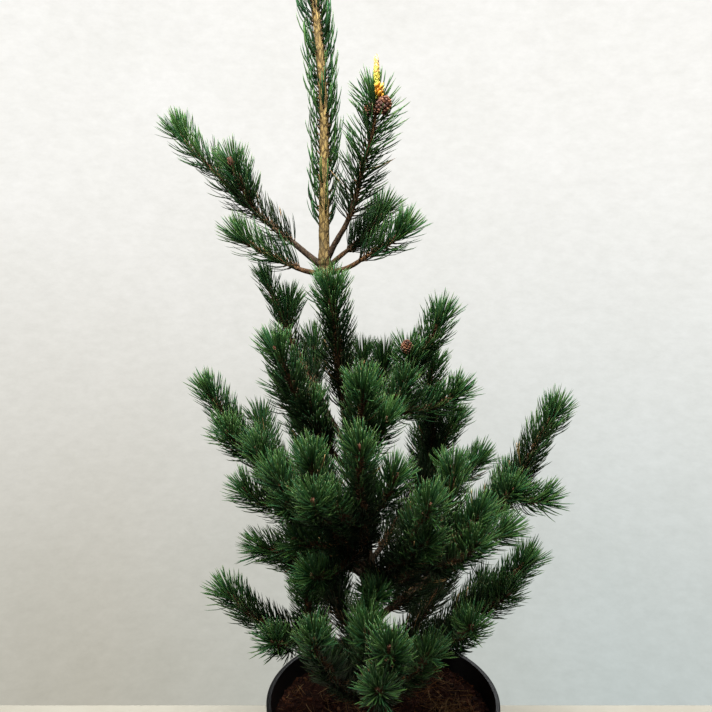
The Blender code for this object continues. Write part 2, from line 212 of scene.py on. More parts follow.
def stem_line(start, azimuth, rise_start, rise_end, length):
    """The points of a stem from its foot to its tip."""
    steps = max(6, round(length / STEM_STEP))
    share = (np.arange(steps) + 0.5) / steps
    rise = np.radians(rise_start + (rise_end - rise_start) * share)
    walk = as_heading(np.full(steps, radians(azimuth)), rise) * (length / steps)
    points = np.vstack([np.zeros(3), np.cumsum(walk, axis=0)])
    along = np.linspace(0.0, 1.0, steps + 1)[:, None]
    phase = luck.uniform(0.0, tau, 3)
    wave = np.sin(along * length * luck.uniform(60, 110, 3) + phase) - np.sin(phase)
    return np.array(start) + points + wave * SWAY * np.minimum(1.0, 4 * along)


def headings(points):
    """The unit direction of a line at each of its points."""
    run = np.gradient(points, axis=0)
    return run / np.linalg.norm(run, axis=1)[:, None]


def point_on(points, share):
    place = share * (len(points) - 1)
    first = min(int(place), len(points) - 2)
    return points[first] + (points[first + 1] - points[first]) * (place - first)


trunk_plan = np.array(TRUNK)


def smoothed(plan, step):
    """The plan's points joined by a smooth line with close, evenly spaced points."""
    count = round((plan[-1, 2] - plan[0, 2]) / step)
    heights = np.linspace(plan[0, 2], plan[-1, 2], count + 1)
    fine = np.stack([np.interp(heights, plan[:, 2], plan[:, column]) for column in range(4)], axis=1)
    for _ in range(14):
        fine[1:-1] = (fine[:-2] + 2 * fine[1:-1] + fine[2:]) / 4
    return fine


trunk_line = smoothed(trunk_plan, 0.0025)


def trunk_centre(height):
    return np.array([np.interp(height, trunk_plan[:, 2], trunk_plan[:, column]) for column in range(3)])


print(len(trunk_line), "points on the trunk")

# %% [markdown]
# The wood of a bough is thickest at the trunk and thins towards its tip. Where a side shoot leaves, its foot
# flares into a small collar.

# %% Grow the boughs' lines
TIP_RADIUS = 0.0014
SIDE_SHARE = 0.72
COLLAR = 1.35  # how much thicker a stem is right at its foot
COLLAR_LENGTH = 0.010


def stem_radii(points, foot, tip):
    """The radius at each point, with the collar at the foot."""
    radii = np.linspace(foot, tip, len(points))
    run = np.linalg.norm(points - points[0], axis=1)
    return radii * (1.0 + (COLLAR - 1.0) * np.exp(-run / COLLAR_LENGTH))


def grow(bough):
    """The stems of a bough as (points, radii), its own first."""
    height, azimuth, rise_start, rise_end, length, shoots = bough
    points = stem_line(trunk_centre(height), azimuth, rise_start, rise_end, length)
    foot = 0.0022 + 0.0055 * length
    stems = [(points, stem_radii(points, foot, TIP_RADIUS))]
    for share, turn, side_start, side_end, side_length in shoots:
        side = stem_line(point_on(points, share), turn, side_start, side_end, side_length)
        side_foot = SIDE_SHARE * (foot + (TIP_RADIUS - foot) * share)
        stems.append((side, stem_radii(side, side_foot, TIP_RADIUS)))
    return stems


boughs = {name: grow(bough) for name, bough in BOUGHS.items()}
print(round(sum(np.linalg.norm(np.diff(s[0], axis=0), axis=1).sum() for b in boughs.values() for s in b),
            2), "m of stem")

# %% [markdown]
# ## Working by hand, in code
#
# Blender's operators act on whatever is selected, and the loaded frame arrives selected. So each piece
# starts with nothing selected, and faces are picked in code by where they lie.

# %% Selecting and finishing
ROOT = "root"


def only(piece):
    """Selects one piece and nothing else."""
    bpy.ops.object.select_all(action="DESELECT")
    piece.select_set(True)
    bpy.context.view_layer.objects.active = piece


def pick(piece, wanted, kind="vertices"):
    """In edit mode, selects the vertices or faces for which wanted(place) is true."""
    bpy.ops.object.mode_set(mode="OBJECT")
    mesh = piece.data
    for group in (mesh.vertices, mesh.edges, mesh.polygons):
        group.foreach_set("select", np.zeros(len(group), bool))
    if kind == "vertices":
        chosen = [wanted(vertex.co) for vertex in mesh.vertices]
        mesh.vertices.foreach_set("select", chosen)
        bpy.ops.object.mode_set(mode="EDIT")
        bpy.ops.mesh.select_mode(type="VERT")
    else:
        chosen = [wanted(face.center, face.normal) for face in mesh.polygons]
        mesh.polygons.foreach_set("select", chosen)
        bpy.ops.object.mode_set(mode="EDIT")
        bpy.ops.mesh.select_mode(type="FACE")
    return sum(chosen)


def settle(piece):
    """Puts a piece's place into its mesh, so that its object sits at the origin."""
    only(piece)
    bpy.ops.object.transform_apply(location=True, rotation=True, scale=True)
    return piece


def apply_all(piece):
    """Applies a piece's modifiers from first to last."""
    only(piece)
    for modifier in [modifier.name for modifier in piece.modifiers]:
        bpy.ops.object.modifier_apply(modifier=modifier)


def hand_over(piece, finish, slot, *nodes):
    """Gives a piece its finish and body, and lets it stand for its plain solids. The slot is not used."""
    piece.data.materials.clear()
    piece.data.materials.append(finish)
    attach(piece, ROOT)
    if nodes:
        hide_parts(*nodes)


bpy.ops.object.select_all(action="DESELECT")
print("nothing is selected:", not bpy.context.selected_objects)

# %% [markdown]
# ## Many copies of one small shape
#
# Needles, bud scales, crumbs of soil and dry fibres all repeat in their hundreds or thousands. Each is
# modelled once, by hand, in a few versions that share the same faces. Its copies are then turned, scaled and
# moved with array arithmetic and go into one mesh for each bough, which is far quicker than one operator
# for each copy.
#
# All copies share one UV map, laid out as a strip of tones: a copy's tone is the column its faces lie in,
# and V runs along it from foot to tip. The finishes read their colours from that map.

# %% Shapes and copies
TONES = 16  # columns of the strip
BAKE_MAP = "OFBake"


def read_shape(versions, length_axis=2):
    """Reads finished objects with the same faces into arrays and removes them. The strip's U goes round a
    copy, and V runs along its axis from 0 to 1."""
    mesh = versions[0].data
    corners = np.zeros(len(mesh.loops), int)
    mesh.loops.foreach_get("vertex_index", corners)
    starts = np.zeros(len(mesh.polygons), int)
    mesh.polygons.foreach_get("loop_start", starts)
    totals = np.zeros(len(mesh.polygons), int)
    mesh.polygons.foreach_get("loop_total", totals)
    spots = []
    for version in versions:
        places = np.zeros(len(version.data.vertices) * 3)
        version.data.vertices.foreach_get("co", places)
        spots.append(places.reshape(-1, 3))
    shape = {"corners": corners, "starts": starts, "totals": totals, "versions": np.array(spots)}
    first = shape["versions"][0]
    along = first[:, length_axis]
    along = (along - along.min()) / max(along.max() - along.min(), 1e-9)
    flat = first[:, [axis for axis in range(3) if axis != length_axis]]
    turn = np.zeros(len(corners))
    for start, total in zip(starts, totals):
        ring = flat[corners[start : start + total]]
        middle = ring.mean(axis=0)
        facing = np.arctan2(middle[1], middle[0])
        offset = np.arctan2(ring[:, 1], ring[:, 0]) - facing
        offset = (offset + pi) % tau - pi
        offset[np.linalg.norm(ring, axis=1) < 1e-6] = 0.0
        turn[start : start + total] = 0.08 + 0.84 * ((facing / tau) % 1.0) + 0.12 * offset / pi
    shape["uv"] = np.stack([turn, along[corners]], axis=1)
    for version in versions:
        bpy.data.objects.remove(version)
    return shape


def turned_to(main, lean):
    """Rotations whose Z is main and whose X leans towards lean."""
    main = main / np.linalg.norm(main, axis=1)[:, None]
    side = lean - main * np.sum(lean * main, axis=1)[:, None]
    size = np.linalg.norm(side, axis=1)[:, None]
    spare = np.cross(main, np.array([0.31, 0.87, 0.38]))
    side = np.where(size < 1e-4, spare, side)
    side = side / np.linalg.norm(side, axis=1)[:, None]
    return np.stack([side, np.cross(main, side), main], axis=2)


def copies(shape, version, turns, sizes, places, tones):
    """Arrays for many copies of a shape."""
    sizes = np.asarray(sizes, float)
    if sizes.ndim == 1:
        sizes = np.repeat(sizes[:, None], 3, axis=1)
    spots = shape["versions"][version] * sizes[:, None, :]
    spots = np.einsum("nij,nvj->nvi", turns, spots) + places[:, None, :]
    count, points = spots.shape[:2]
    step = np.arange(count)[:, None]
    uv = np.repeat(shape["uv"][None], count, axis=0)
    uv[:, :, 0] = (np.asarray(tones)[:, None] + uv[:, :, 0]) / TONES
    return {
        "spots": spots.reshape(-1, 3),
        "corners": (shape["corners"][None] + step * points).ravel(),
        "starts": (shape["starts"][None] + step * len(shape["corners"])).ravel(),
        "totals": np.tile(shape["totals"], count),
        "uv": uv.reshape(-1, 2),
    }


def joined(name, groups):
    """One object from several groups of copies."""
    spots = np.vstack([group["spots"] for group in groups])
    before = np.cumsum([0] + [len(group["spots"]) for group in groups[:-1]])
    loops = np.cumsum([0] + [len(group["corners"]) for group in groups[:-1]])
    corners = np.concatenate([group["corners"] + skip for group, skip in zip(groups, before)])
    starts = np.concatenate([group["starts"] + skip for group, skip in zip(groups, loops)])
    totals = np.concatenate([group["totals"] for group in groups])
    mesh = bpy.data.meshes.new(name)
    mesh.vertices.add(len(spots))
    mesh.vertices.foreach_set("co", spots.ravel())
    mesh.loops.add(len(corners))
    mesh.loops.foreach_set("vertex_index", corners)
    mesh.polygons.add(len(starts))
    mesh.polygons.foreach_set("loop_start", starts)
    mesh.polygons.foreach_set("loop_total", totals)
    mesh.update(calc_edges=True)
    strip = mesh.uv_layers.new(name=BAKE_MAP)
    strip.data.foreach_set("uv", np.vstack([group["uv"] for group in groups]).ravel())
    mesh.shade_smooth()
    made = bpy.data.objects.new(name, mesh)
    bpy.context.scene.collection.objects.link(made)
    return made


print("copies carry", TONES, "tones")

# %% [markdown]
# ## One needle
#
# A pine needle is half of a thin rod: two grow face to face out of one brown sheath. Its inner face is flat
# and has whitish lines of pores. It starts as a three-sided cylinder with the flat face on one side, is cut
# across at four heights, tapered ring by ring and closed to a point. Twist and bend modifiers then give each
# version its own curl.

# %% Model the needle
NEEDLE_LENGTH = 0.030
NEEDLE_WIDTH = 0.00110
NEEDLE_DEPTH = 0.55  # of its width
RINGS = [(0.0, 0.70), (0.12, 0.95), (0.36, 1.0), (0.64, 0.92),
         (0.86, 0.66)]  # share of the length, of the width
BENDS = [0, 8, 16, 24, 32, 42, 54, 68]  # degrees from foot to tip
ROLLS = [15, 75, 135, 195, 255, 315]  # degrees, the way the flat face looks
NEEDLE_TWIST = 70


def straight_needle():
    """The needle before it is bent, one unit wide and long."""
    bpy.ops.object.select_all(action="DESELECT")
    bpy.ops.mesh.primitive_cylinder_add(vertices=3, radius=0.577, depth=1.0, location=(0.0, 0.0, 0.5))
    needle = settle(bpy.context.object)
    bpy.ops.object.mode_set(mode="EDIT")
    for share, width in RINGS[1:]:
        bpy.ops.mesh.select_all(action="SELECT")
        bpy.ops.mesh.bisect(plane_co=(0.0, 0.0, share), plane_no=(0.0, 0.0, 1.0))
    for share, width in RINGS:
        pick(needle, lambda place: abs(place.z - share) < 0.01)
        bpy.ops.transform.resize(value=(width, width, 1.0), center_override=(0.0, 0.0, share))
    pick(needle, lambda place: place.z > 0.99)
    bpy.ops.mesh.merge(type="CENTER")
    bpy.ops.object.mode_set(mode="OBJECT")
    needle.scale = (NEEDLE_WIDTH, NEEDLE_WIDTH * NEEDLE_DEPTH, NEEDLE_LENGTH)
    return settle(needle)


def bent_copy(plain, roll, twist, bend):
    """A copy turned about its length, twisted, and bent towards +X."""
    only(plain)
    bpy.ops.object.duplicate()
    made = bpy.context.object
    made.rotation_euler.z = radians(roll)
    settle(made)
    turning = made.modifiers.new("twist", "SIMPLE_DEFORM")
    turning.deform_method = "TWIST"
    turning.deform_axis = "Z"
    turning.angle = radians(twist)
    if bend:
        bending = made.modifiers.new("bend", "SIMPLE_DEFORM")
        bending.deform_method = "BEND"
        bending.deform_axis = "Y"
        bending.angle = radians(bend)
    apply_all(made)
    return made


plain_needle = straight_needle()
needle_versions = [bent_copy(plain_needle, roll, NEEDLE_TWIST, bend) for bend in BENDS for roll in ROLLS]
print("a needle has", len(plain_needle.data.polygons), "faces, in", len(needle_versions), "versions")
needle = read_shape(needle_versions)
bpy.data.objects.remove(plain_needle)

# %% [markdown]
# ## The finish of the needles
#
# Living needles are blue-green with a waxy bloom. Each pair differs a little: this year's are fresher,
# those deep in the tree are old and dull, and a few are dead and straw-coloured. The older needles' darker
# tones are partly their duller colour and partly painted shade for the heart of the tree. So the finish takes
# a tone from the needle's column of the strip, darkens and browns its foot, partly its own colour and partly
# painted shade, pales its point, partly its own colour and partly painted light, and draws whitish lines of
# pores on the flat face. It reads nothing but the strip, so that all needles can share one baked picture.

# %% Node helpers
def new_finish(name, roughness, specular=0.5):
    """A material with its Principled shader and a small kit to add and link nodes."""
    material = bpy.data.materials.new(name)
    material.use_nodes = True
    tree = material.node_tree
    shader = tree.nodes["Principled BSDF"]
    shader.inputs["Roughness"].default_value = roughness
    shader.inputs["Specular IOR Level"].default_value = specular
    return material, tree, shader


def add_node(tree, kind, **settings):
    """A new node of one kind, with its own settings such as operation or blend type."""
    node = tree.nodes.new(kind)
    for key, value in settings.items():
        if hasattr(node, key):
            setattr(node, key, value)
    return node


def feed(tree, node, socket, value):
    """Links an output to a node's input, or sets the input's value."""
    target = node.inputs[socket]
    if isinstance(value, bpy.types.NodeSocket):
        tree.links.new(value, target)
    else:
        target.default_value = value


def maths(tree, operation, first, second=0.0, third=0.0, clamp=False):
    node = add_node(tree, "ShaderNodeMath", operation=operation, use_clamp=clamp)
    for socket, value in enumerate((first, second, third)):
        feed(tree, node, socket, value)
    return node.outputs[0]


def ramp(tree, value, stops, interpolation="LINEAR"):
    """A colour ramp; stops are (place, colour)."""
    node = add_node(tree, "ShaderNodeValToRGB")
    node.color_ramp.interpolation = interpolation
    marks = node.color_ramp.elements
    while len(marks) > 1:
        marks.remove(marks[-1])
    marks[0].position = stops[0][0]
    marks[0].color = (*stops[0][1], 1.0)
    for place, colour in stops[1:]:
        marks.new(place).color = (*colour, 1.0)
    feed(tree, node, 0, value)
    return node.outputs["Color"]


def mixed(tree, share, first, second, blend="MIX"):
    node = add_node(tree, "ShaderNodeMix", data_type="RGBA", blend_type=blend, clamp_factor=True)
    feed(tree, node, 0, share)
    for socket, value in ((6, first), (7, second)):
        feed(tree, node, socket, (*value, 1.0) if isinstance(value, tuple) else value)
    return node.outputs[2]


def noise(tree, where, scale, detail=3.0, roughness=0.55, stretch=None):
    """A noise value on the given coordinates."""
    if stretch:
        mapping = add_node(tree, "ShaderNodeMapping")
        feed(tree, mapping, "Vector", where)
        mapping.inputs["Scale"].default_value = stretch
        where = mapping.outputs[0]
    node = add_node(tree, "ShaderNodeTexNoise")
    feed(tree, node, "Vector", where)
    for socket, value in (("Scale", scale), ("Detail", detail), ("Roughness", roughness)):
        node.inputs[socket].default_value = value
    return node.outputs["Fac"]


def bump(tree, shader, height, strength, distance):
    node = add_node(tree, "ShaderNodeBump")
    node.inputs["Strength"].default_value = strength
    node.inputs["Distance"].default_value = distance
    feed(tree, node, "Height", height)
    tree.links.new(node.outputs[0], shader.inputs["Normal"])


def strip_axes(tree):
    """The strip's column number from 0 to 1, the place across the column, and the place along the copy."""
    strip = add_node(tree, "ShaderNodeUVMap", uv_map=BAKE_MAP)
    axes = add_node(tree, "ShaderNodeSeparateXYZ")
    tree.links.new(strip.outputs[0], axes.inputs[0])
    wide = maths(tree, "MULTIPLY", axes.outputs[0], float(TONES))
    column = maths(tree, "FLOOR", wide)
    across = maths(tree, "SUBTRACT", wide, column)
    tone = maths(tree, "DIVIDE", maths(tree, "ADD", column, 0.5), float(TONES))
    return strip.outputs[0], tone, across, axes.outputs[1]


def tone_stops(colours):
    """Ramp stops that give each column its own colour."""
    return [(number / TONES, colour) for number, colour in enumerate(colours)]


print("node helpers are ready")

# %% Needle finish
# The middle and old tones are much darker than ageing alone makes needles: they are also painted shade for
# the heart of the tree, where the older needles sit.
FRESH = [(0.024, 0.082, 0.020), (0.034, 0.090, 0.018), (0.018, 0.076, 0.029), (0.046, 0.100, 0.025)]
MIDDLE_AGED_AND_SHADED = [(0.0075, 0.028, 0.006), (0.010, 0.030, 0.005), (0.006, 0.026, 0.009), (0.013, 0.029, 0.006)]
OLD_AND_DEEP_SHADED = [(0.005, 0.015, 0.004), (0.007, 0.016, 0.003), (0.004, 0.014, 0.006), (0.013, 0.018, 0.005)]
DEAD = [(0.30, 0.19, 0.085), (0.20, 0.105, 0.045)]
SHEATH = [(0.050, 0.028, 0.014), (0.085, 0.048, 0.022)]
DEAD_TONE, SHEATH_TONE = 12, 14


def needle_finish():
    material, tree, shader = new_finish("pine_needle", 0.44, 0.20)
    strip, tone, across, along = strip_axes(tree)
    body = ramp(tree, tone, tone_stops(FRESH + MIDDLE_AGED_AND_SHADED + OLD_AND_DEEP_SHADED + DEAD + SHEATH), "CONSTANT")
    # Along the needle the foot is darker and browner and the point paler. Part of this is the needle's own
    # colour; the rest is painted shade at the foot, where the pairs crowd at the stem, and painted light at
    # the point.
    foot_shade_and_point_light = ramp(tree, along, [(0.0, (0.50, 0.42, 0.30)), (0.12, (0.50, 0.54, 0.48)),
                                    (0.50, (0.80, 0.84, 0.80)), (0.90, (1.75, 1.60, 1.55))])
    body = mixed(tree, 1.0, body, foot_shade_and_point_light, "MULTIPLY")
    lines = maths(tree, "SINE", maths(tree, "MULTIPLY", across, 150.0))
    pores = maths(tree, "MULTIPLY", maths(tree, "GREATER_THAN", across, 0.60),
                  maths(tree, "GREATER_THAN", lines, 0.0))
    living = maths(tree, "LESS_THAN", tone, DEAD_TONE / TONES)
    pores = maths(tree, "MULTIPLY", maths(tree, "MULTIPLY", pores, living), 0.24)
    body = mixed(tree, pores, body, (0.12, 0.23, 0.12))
    mottle = noise(tree, strip, 60.0, 2.0, stretch=(1.0, 0.35, 1.0))
    body = mixed(tree, maths(tree, "MULTIPLY", mottle, 0.35), body,
                 mixed(tree, 1.0, body, (0.55, 0.62, 0.5), "MULTIPLY"))
    point = maths(tree, "GREATER_THAN", along, 0.965)
    body = mixed(tree, maths(tree, "MULTIPLY", point, maths(tree, "MULTIPLY", living, 0.6)), body,
                 (0.22, 0.17, 0.07))
    tree.links.new(body, shader.inputs["Base Color"])
    shader.inputs["Subsurface Weight"].default_value = 0.0
    shader.inputs["Coat Weight"].default_value = 0.08
    shader.inputs["Coat Roughness"].default_value = 0.28
    return material


needle_green = needle_finish()
print("needle finish has", len(needle_green.node_tree.nodes), "nodes")

# %% [markdown]
# ## Needles on the shoots
#
# Pairs of needles sit on a shoot in a spiral: each pair is turned by the golden angle from the last, so no
# two stand in line. They leave the shoot at about fifty-five degrees along its length, and at the tip at
# any smaller angle as well, so that they make a round head over the bud, and they curve towards the light.
# The spiral, the angle and the curve are rules, so they are worked out for all pairs of a shoot at once.

# %% Spiral of needle pairs
GOLDEN_ANGLE = radians(137.508)
PAIR_SPACING = 0.00042
TIP_SPACING = 0.00018
TIP_CROWD = 0.012  # length of the crowded part at the tip
PAIR_SPREAD = radians(6)
TIP_OPENING = 0.20  # smallest share of the full angle among the last pairs
TIP_CURL = 0.30  # share of the curl that the last pairs have
FULL_CURL_FROM = 0.022  # distance from the tip where they have all of it
UNDERSIDE, FRONT_SIDE = -0.25, -0.35  # a pair's outward way beyond which it counts as below or in front


def spiral_spots(points, first, spacing, tip_spacing):
    """Distances from the tip of a stem's pairs, with their places and the stem's heading there."""
    steps = np.linalg.norm(np.diff(points, axis=0), axis=1)
    run = np.concatenate([[0.0], np.cumsum(steps)])
    crowd = np.arange(0.0005, TIP_CROWD, tip_spacing)
    rest = np.arange(TIP_CROWD, run[-1] * (1.0 - first), spacing)
    back = np.concatenate([crowd, rest])
    back = back + luck.normal(0.0, 0.15 * spacing, len(back))
    place = run[-1] - np.clip(back, 0.0, run[-1])
    spots = np.stack([np.interp(place, run, points[:, axis]) for axis in range(3)], axis=1)
    ways = headings(points)
    heading = np.stack([np.interp(place, run, ways[:, axis]) for axis in range(3)], axis=1)
    heading /= np.linalg.norm(heading, axis=1)[:, None]
    return back, spots, heading, place / run[-1]


def normal_rows(rows):
    return rows / np.linalg.norm(rows, axis=1)[:, None]


def needle_pairs(stem, first, style, clear=()):
    """Copies of the needle and its sheath along one stem; no pair crosses the places that stay clear."""
    points, radii = stem
    back, spots, heading, share = spiral_spots(points, first, style["spacing"], style["tip_spacing"])
    count = len(back)
    side = normal_rows(np.cross(heading, UP + np.array([0.013, 0.021, 0.0])))
    over = np.cross(side, heading)
    turn = GOLDEN_ANGLE * np.arange(count) + luck.normal(0.0, 0.22, count)
    radial = side * np.cos(turn)[:, None] + over * np.sin(turn)[:, None]
    opening = np.where(back < TIP_CROWD, luck.uniform(TIP_OPENING, 1.05, count), 1.0)
    angle = radians(style["angle"]) * opening + luck.normal(0.0, radians(6), count)
    lead = normal_rows(heading * np.cos(angle)[:, None] + radial * np.sin(angle)[:,
                                                                                 None] + UP * style["lift"])
    wood = np.interp(share, np.linspace(0, 1, len(radii)), radii)
    foot = spots + radial * (wood * 0.85)[:, None]
    fallen = (radial[:, 2] < UNDERSIDE) & (luck.random(count) < style["thin_below"])
    fallen |= (radial[:, 1] < FRONT_SIDE) & (luck.random(count) < style["thin_front"])
    for centre, room in clear:
        for reach in (0.3, 0.6, 0.9):
            fallen |= np.linalg.norm(foot + lead * (reach * style["length"]) - centre, axis=1) < room
    kept = ~fallen
    back, foot, lead, count = back[kept], foot[kept], lead[kept], int(kept.sum())
    target = normal_rows(heading[kept] * style["along"] + UP * style["up"])
    split = normal_rows(np.cross(lead, luck.normal(0.0, 1.0, (count, 3))))
    groups = []
    for sign in (-1.0, 1.0):
        spread = PAIR_SPREAD * luck.uniform(0.4, 1.5, count)
        main = normal_rows(lead + split * (sign * np.tan(spread))[:, None])
        between = np.arccos(np.clip(np.sum(main * target, axis=1), -1.0, 1.0))
        ease = TIP_CURL + (1.0 - TIP_CURL) * np.clip(back / FULL_CURL_FROM, 0.0, 1.0)
        bend = np.degrees(between) * style["curl"] * ease + luck.normal(0.0, 5.0, count)
        nearest = np.abs(bend[:, None] - np.array(BENDS)[None]).argmin(axis=1)
        version = nearest * len(ROLLS) + luck.integers(0, len(ROLLS), count)
        length = style["length"] / NEEDLE_LENGTH * luck.normal(1.0, 0.06,
                                                               count) * (1.0 - 0.12 * (back > 0.11))
        girth = style["girth"] * luck.normal(1.0, 0.08, count)
        sizes = np.stack([girth, girth, np.ones(count)], axis=1) * length[:, None]
        # Each year's length back from the tip takes a darker tone: partly the duller colour of older needles,
        # partly painted shade deep in the shoots.
        age = np.clip(back / style["age_and_shade_step"], 0.0, 2.6) + luck.normal(0.0, 0.35, count)
        tones = np.clip(np.floor(age), 0, 2) * 4 + luck.integers(0, 4, count)
        dead = luck.random(count) < style["dead"] * age**2
        tones = np.where(dead, DEAD_TONE + luck.integers(0, 2, count), tones)
        groups.append(copies(needle, version, turned_to(main, target), sizes, foot, tones))
    sizes = luck.uniform(0.8, 1.2, count)
    tones = SHEATH_TONE + luck.integers(0, 2, count)
    groups.append(copies(sheath, luck.integers(0, 2, count), turned_to(lead, target), sizes,
                         foot - lead * 0.0004, tones))
    return groups


# %% [markdown]
# The sheath is the short brown sleeve that holds a pair together at its foot. It is a five-sided tapered
# sleeve, and it also hides where the needles enter the bark.

# %% Model the sheath
SHEATH_LENGTH = 0.0040


def sheath_version(swell):
    bpy.ops.object.select_all(action="DESELECT")
    bpy.ops.mesh.primitive_cone_add(
        vertices=5, radius1=0.00085, radius2=0.00060, depth=SHEATH_LENGTH,
        location=(0.0, 0.0, SHEATH_LENGTH / 2)
    )
    made = settle(bpy.context.object)
    bpy.ops.object.mode_set(mode="EDIT")
    bpy.ops.mesh.select_all(action="SELECT")
    bpy.ops.mesh.bisect(plane_co=(0.0, 0.0, SHEATH_LENGTH * 0.4), plane_no=(0.0, 0.0, 1.0))
    pick(made, lambda place: abs(place.z - SHEATH_LENGTH * 0.4) < 0.0002)
    bpy.ops.transform.resize(value=(swell, swell, 1.0), center_override=(0.0, 0.0, 0.0))
    bpy.ops.object.mode_set(mode="OBJECT")
    return made


sheath = read_shape([sheath_version(1.15), sheath_version(1.35)])
print("a sheath has", len(sheath["starts"]), "faces")

# %% [markdown]
# A bough's needles hold for three years, so only its foot is bare. The leader's needles are sparser and
# pressed upwards against its stem.

# %% Grow the needles
BARE_FRACTION = 0.30
BARE_BEFORE_SIDE = 0.06
STYLE = {
    "spacing": PAIR_SPACING,  # metres of stem for each pair
    "tip_spacing": TIP_SPACING,
    "angle": 54,  # degrees between the needles and the shoot
    "lift": 0.16,  # how far all of them lean to the light
    "along": 0.60,  # what the needles curve towards: the shoot's own way
    "up": 0.70,  # and the vertical
    "curl": 0.62,  # how much of that turn they make
    "length": 0.0305,
    "girth": 1.0,
    # One year's length is also the step by which needles take darker tones, partly for age and partly as
    # painted shade.
    "age_and_shade_step": 0.034,  # metres of stem that one year's needles cover
    "dead": 0.003,
    "thin_below": 0.25,  # share of the shaded needles that have fallen
    "thin_front": 0.0,
}
SIDE_STYLE = dict(STYLE, length=0.0295, angle=57)
TOP_STYLE = dict(STYLE, spacing=0.00062, thin_below=0.55, age_and_shade_step=0.050)
SLIM_STYLE = dict(STYLE, spacing=0.00075, length=0.0245, angle=44)
CANDLE_STYLE = dict(STYLE, spacing=0.00078, tip_spacing=0.00022, angle=60, curl=0.25, girth=1.15,
                    lift=0.0, length=0.034, age_and_shade_step=0.060)
WHORL_STYLE = dict(STYLE, spacing=0.00055, tip_spacing=0.0005, angle=72, length=0.017, along=0.2, up=0.8,
                   age_and_shade_step=0.020)
LEADER_STYLE = dict(STYLE, spacing=0.00085, tip_spacing=0.0008, angle=50, lift=0.0, along=1.0, up=0.0,
                    curl=0.90,
                    length=0.033, girth=1.4, age_and_shade_step=0.30, dead=0.0, thin_below=0.0, thin_front=0.70)
STYLES = {("1_right", 0): CANDLE_STYLE, ("1_left", 0): TOP_STYLE,
          ("1_low_left", 0): TOP_STYLE, ("1_low_right", 0): TOP_STYLE, ("2_left", 0): SLIM_STYLE}
BARE = {"1_low_right": 0.40, "1_low_left": 0.30, "1_left": 0.20, "1_back": 0.35,
        "3_left": 0.12, "3_right": 0.08, "3_front_right": 0.12, "3_front": 0.16, "3_low_left": 0.12,
        "3_back_left": 0.12, "3_back_right": 0.12, "3_right_front": 0.12,
        "4_left": 0.12, "4_right": 0.10, "4_back_left": 0.10, "4_back_right": 0.10}
WHORL = (0.660, 0.689)  # heights on the trunk of the short needles at the foot of the top boughs
LEADER_FROM = 0.725


def bare_part(name):
    """The share of a bough near the trunk that has no needles."""
    first_side = min([shoot[0] for shoot in BOUGHS[name][5]], default=1.0)
    return BARE.get(name, max(min(BARE_FRACTION, first_side - BARE_BEFORE_SIDE), 0.1))


candle_foot = boughs["1_right"][0][0][-1]
clear_places = {
    "1_right": [(candle_foot + np.array([0.0065, -0.0055, -0.004]), 0.0085),
                (candle_foot + np.array([0.0030, -0.0040, 0.008]), 0.0065)],
    "1_left": [(boughs["1_left"][1][0][-1] + np.array([0.0, -0.006, 0.003]), 0.005)],
    "2_right": [(boughs["2_right"][3][0][-1] + np.array([-0.002, -0.004, 0.006]), 0.007)],
}
for name, stems in boughs.items():
    groups = []
    for number, stem in enumerate(stems):
        style = STYLES.get((name, number), SIDE_STYLE if number else STYLE)
        first = 0.05 if number else bare_part(name)
        groups += needle_pairs(stem, first, style, clear_places.get(name, ()))
    foliage = joined("pine_needles_" + name, groups)
    hand_over(foliage, needle_green, "needles", "needles_" + name)

leader = trunk_line[trunk_line[:, 2] > LEADER_FROM]
whorl = trunk_line[(trunk_line[:, 2] > WHORL[0]) & (trunk_line[:, 2] < WHORL[1])]
groups = needle_pairs((leader[:, :3], leader[:, 3]), 0.0, LEADER_STYLE)
groups += needle_pairs((whorl[:, :3], whorl[:, 3]), 0.0, WHORL_STYLE)
foliage = joined("pine_needles_leader", groups)
hand_over(foliage, needle_green, "needles", "needles_leader")
count = sum(len(piece.data.polygons) for piece in bpy.data.objects if piece.name.startswith("pine_needles"))
print(count, "faces of needles")

# %% [markdown]
# ## The wood of the boughs
#
# A stem is a round tube along its line. A curve with a bevel makes one at once, with its radius given at
# each point. It is then converted to a mesh, its end caps are welded, and side shoots are joined to it with
# a Boolean union, so that the fork is one skin.

# %% Tubes along lines
def stem_tube(name, points, radii, sides):
    bpy.ops.object.select_all(action="DESELECT")
    bpy.ops.curve.primitive_nurbs_path_add(location=(0.0, 0.0, 0.0))
    made = bpy.context.object
    made.name = name
    line = made.data
    line.splines.clear()
    line.bevel_depth = 1.0
    line.bevel_resolution = (sides - 4) // 2
    line.use_fill_caps = True
    spline = line.splines.new("POLY")
    spline.points.add(len(points) - 1)
    spline.points.foreach_set("co", np.column_stack([points, np.ones(len(points))]).ravel())
    spline.points.foreach_set("radius", np.asarray(radii, float))
    bpy.ops.object.convert(target="MESH")
    made = bpy.context.object
    bpy.ops.object.mode_set(mode="EDIT")
    bpy.ops.mesh.select_all(action="SELECT")
    bpy.ops.mesh.remove_doubles(threshold=0.00001)
    bpy.ops.mesh.normals_make_consistent(inside=False)
    bpy.ops.object.mode_set(mode="OBJECT")
    bpy.ops.object.shade_smooth()
    return made


def roughen(piece, name, kind, scale, strength):
    """Pushes the surface in and out by a cloudy texture."""
    texture = bpy.data.textures.new(name, kind)
    texture.noise_scale = scale
    push = piece.modifiers.new(name, "DISPLACE")
    push.texture = texture
    push.texture_coords = "LOCAL"
    push.strength = strength
    push.mid_level = 0.5


print("tubes are ready")

# %% [markdown]
# Young bark is thin, ridged lengthwise under each needle's seat, and orange-brown. It turns grey-brown and
# scaly with age. The finish mixes both by an "age" attribute, which runs from 0 at a bough's tip to 1 at the
# trunk, and adds scales, lichen-grey patches and fine furrows.

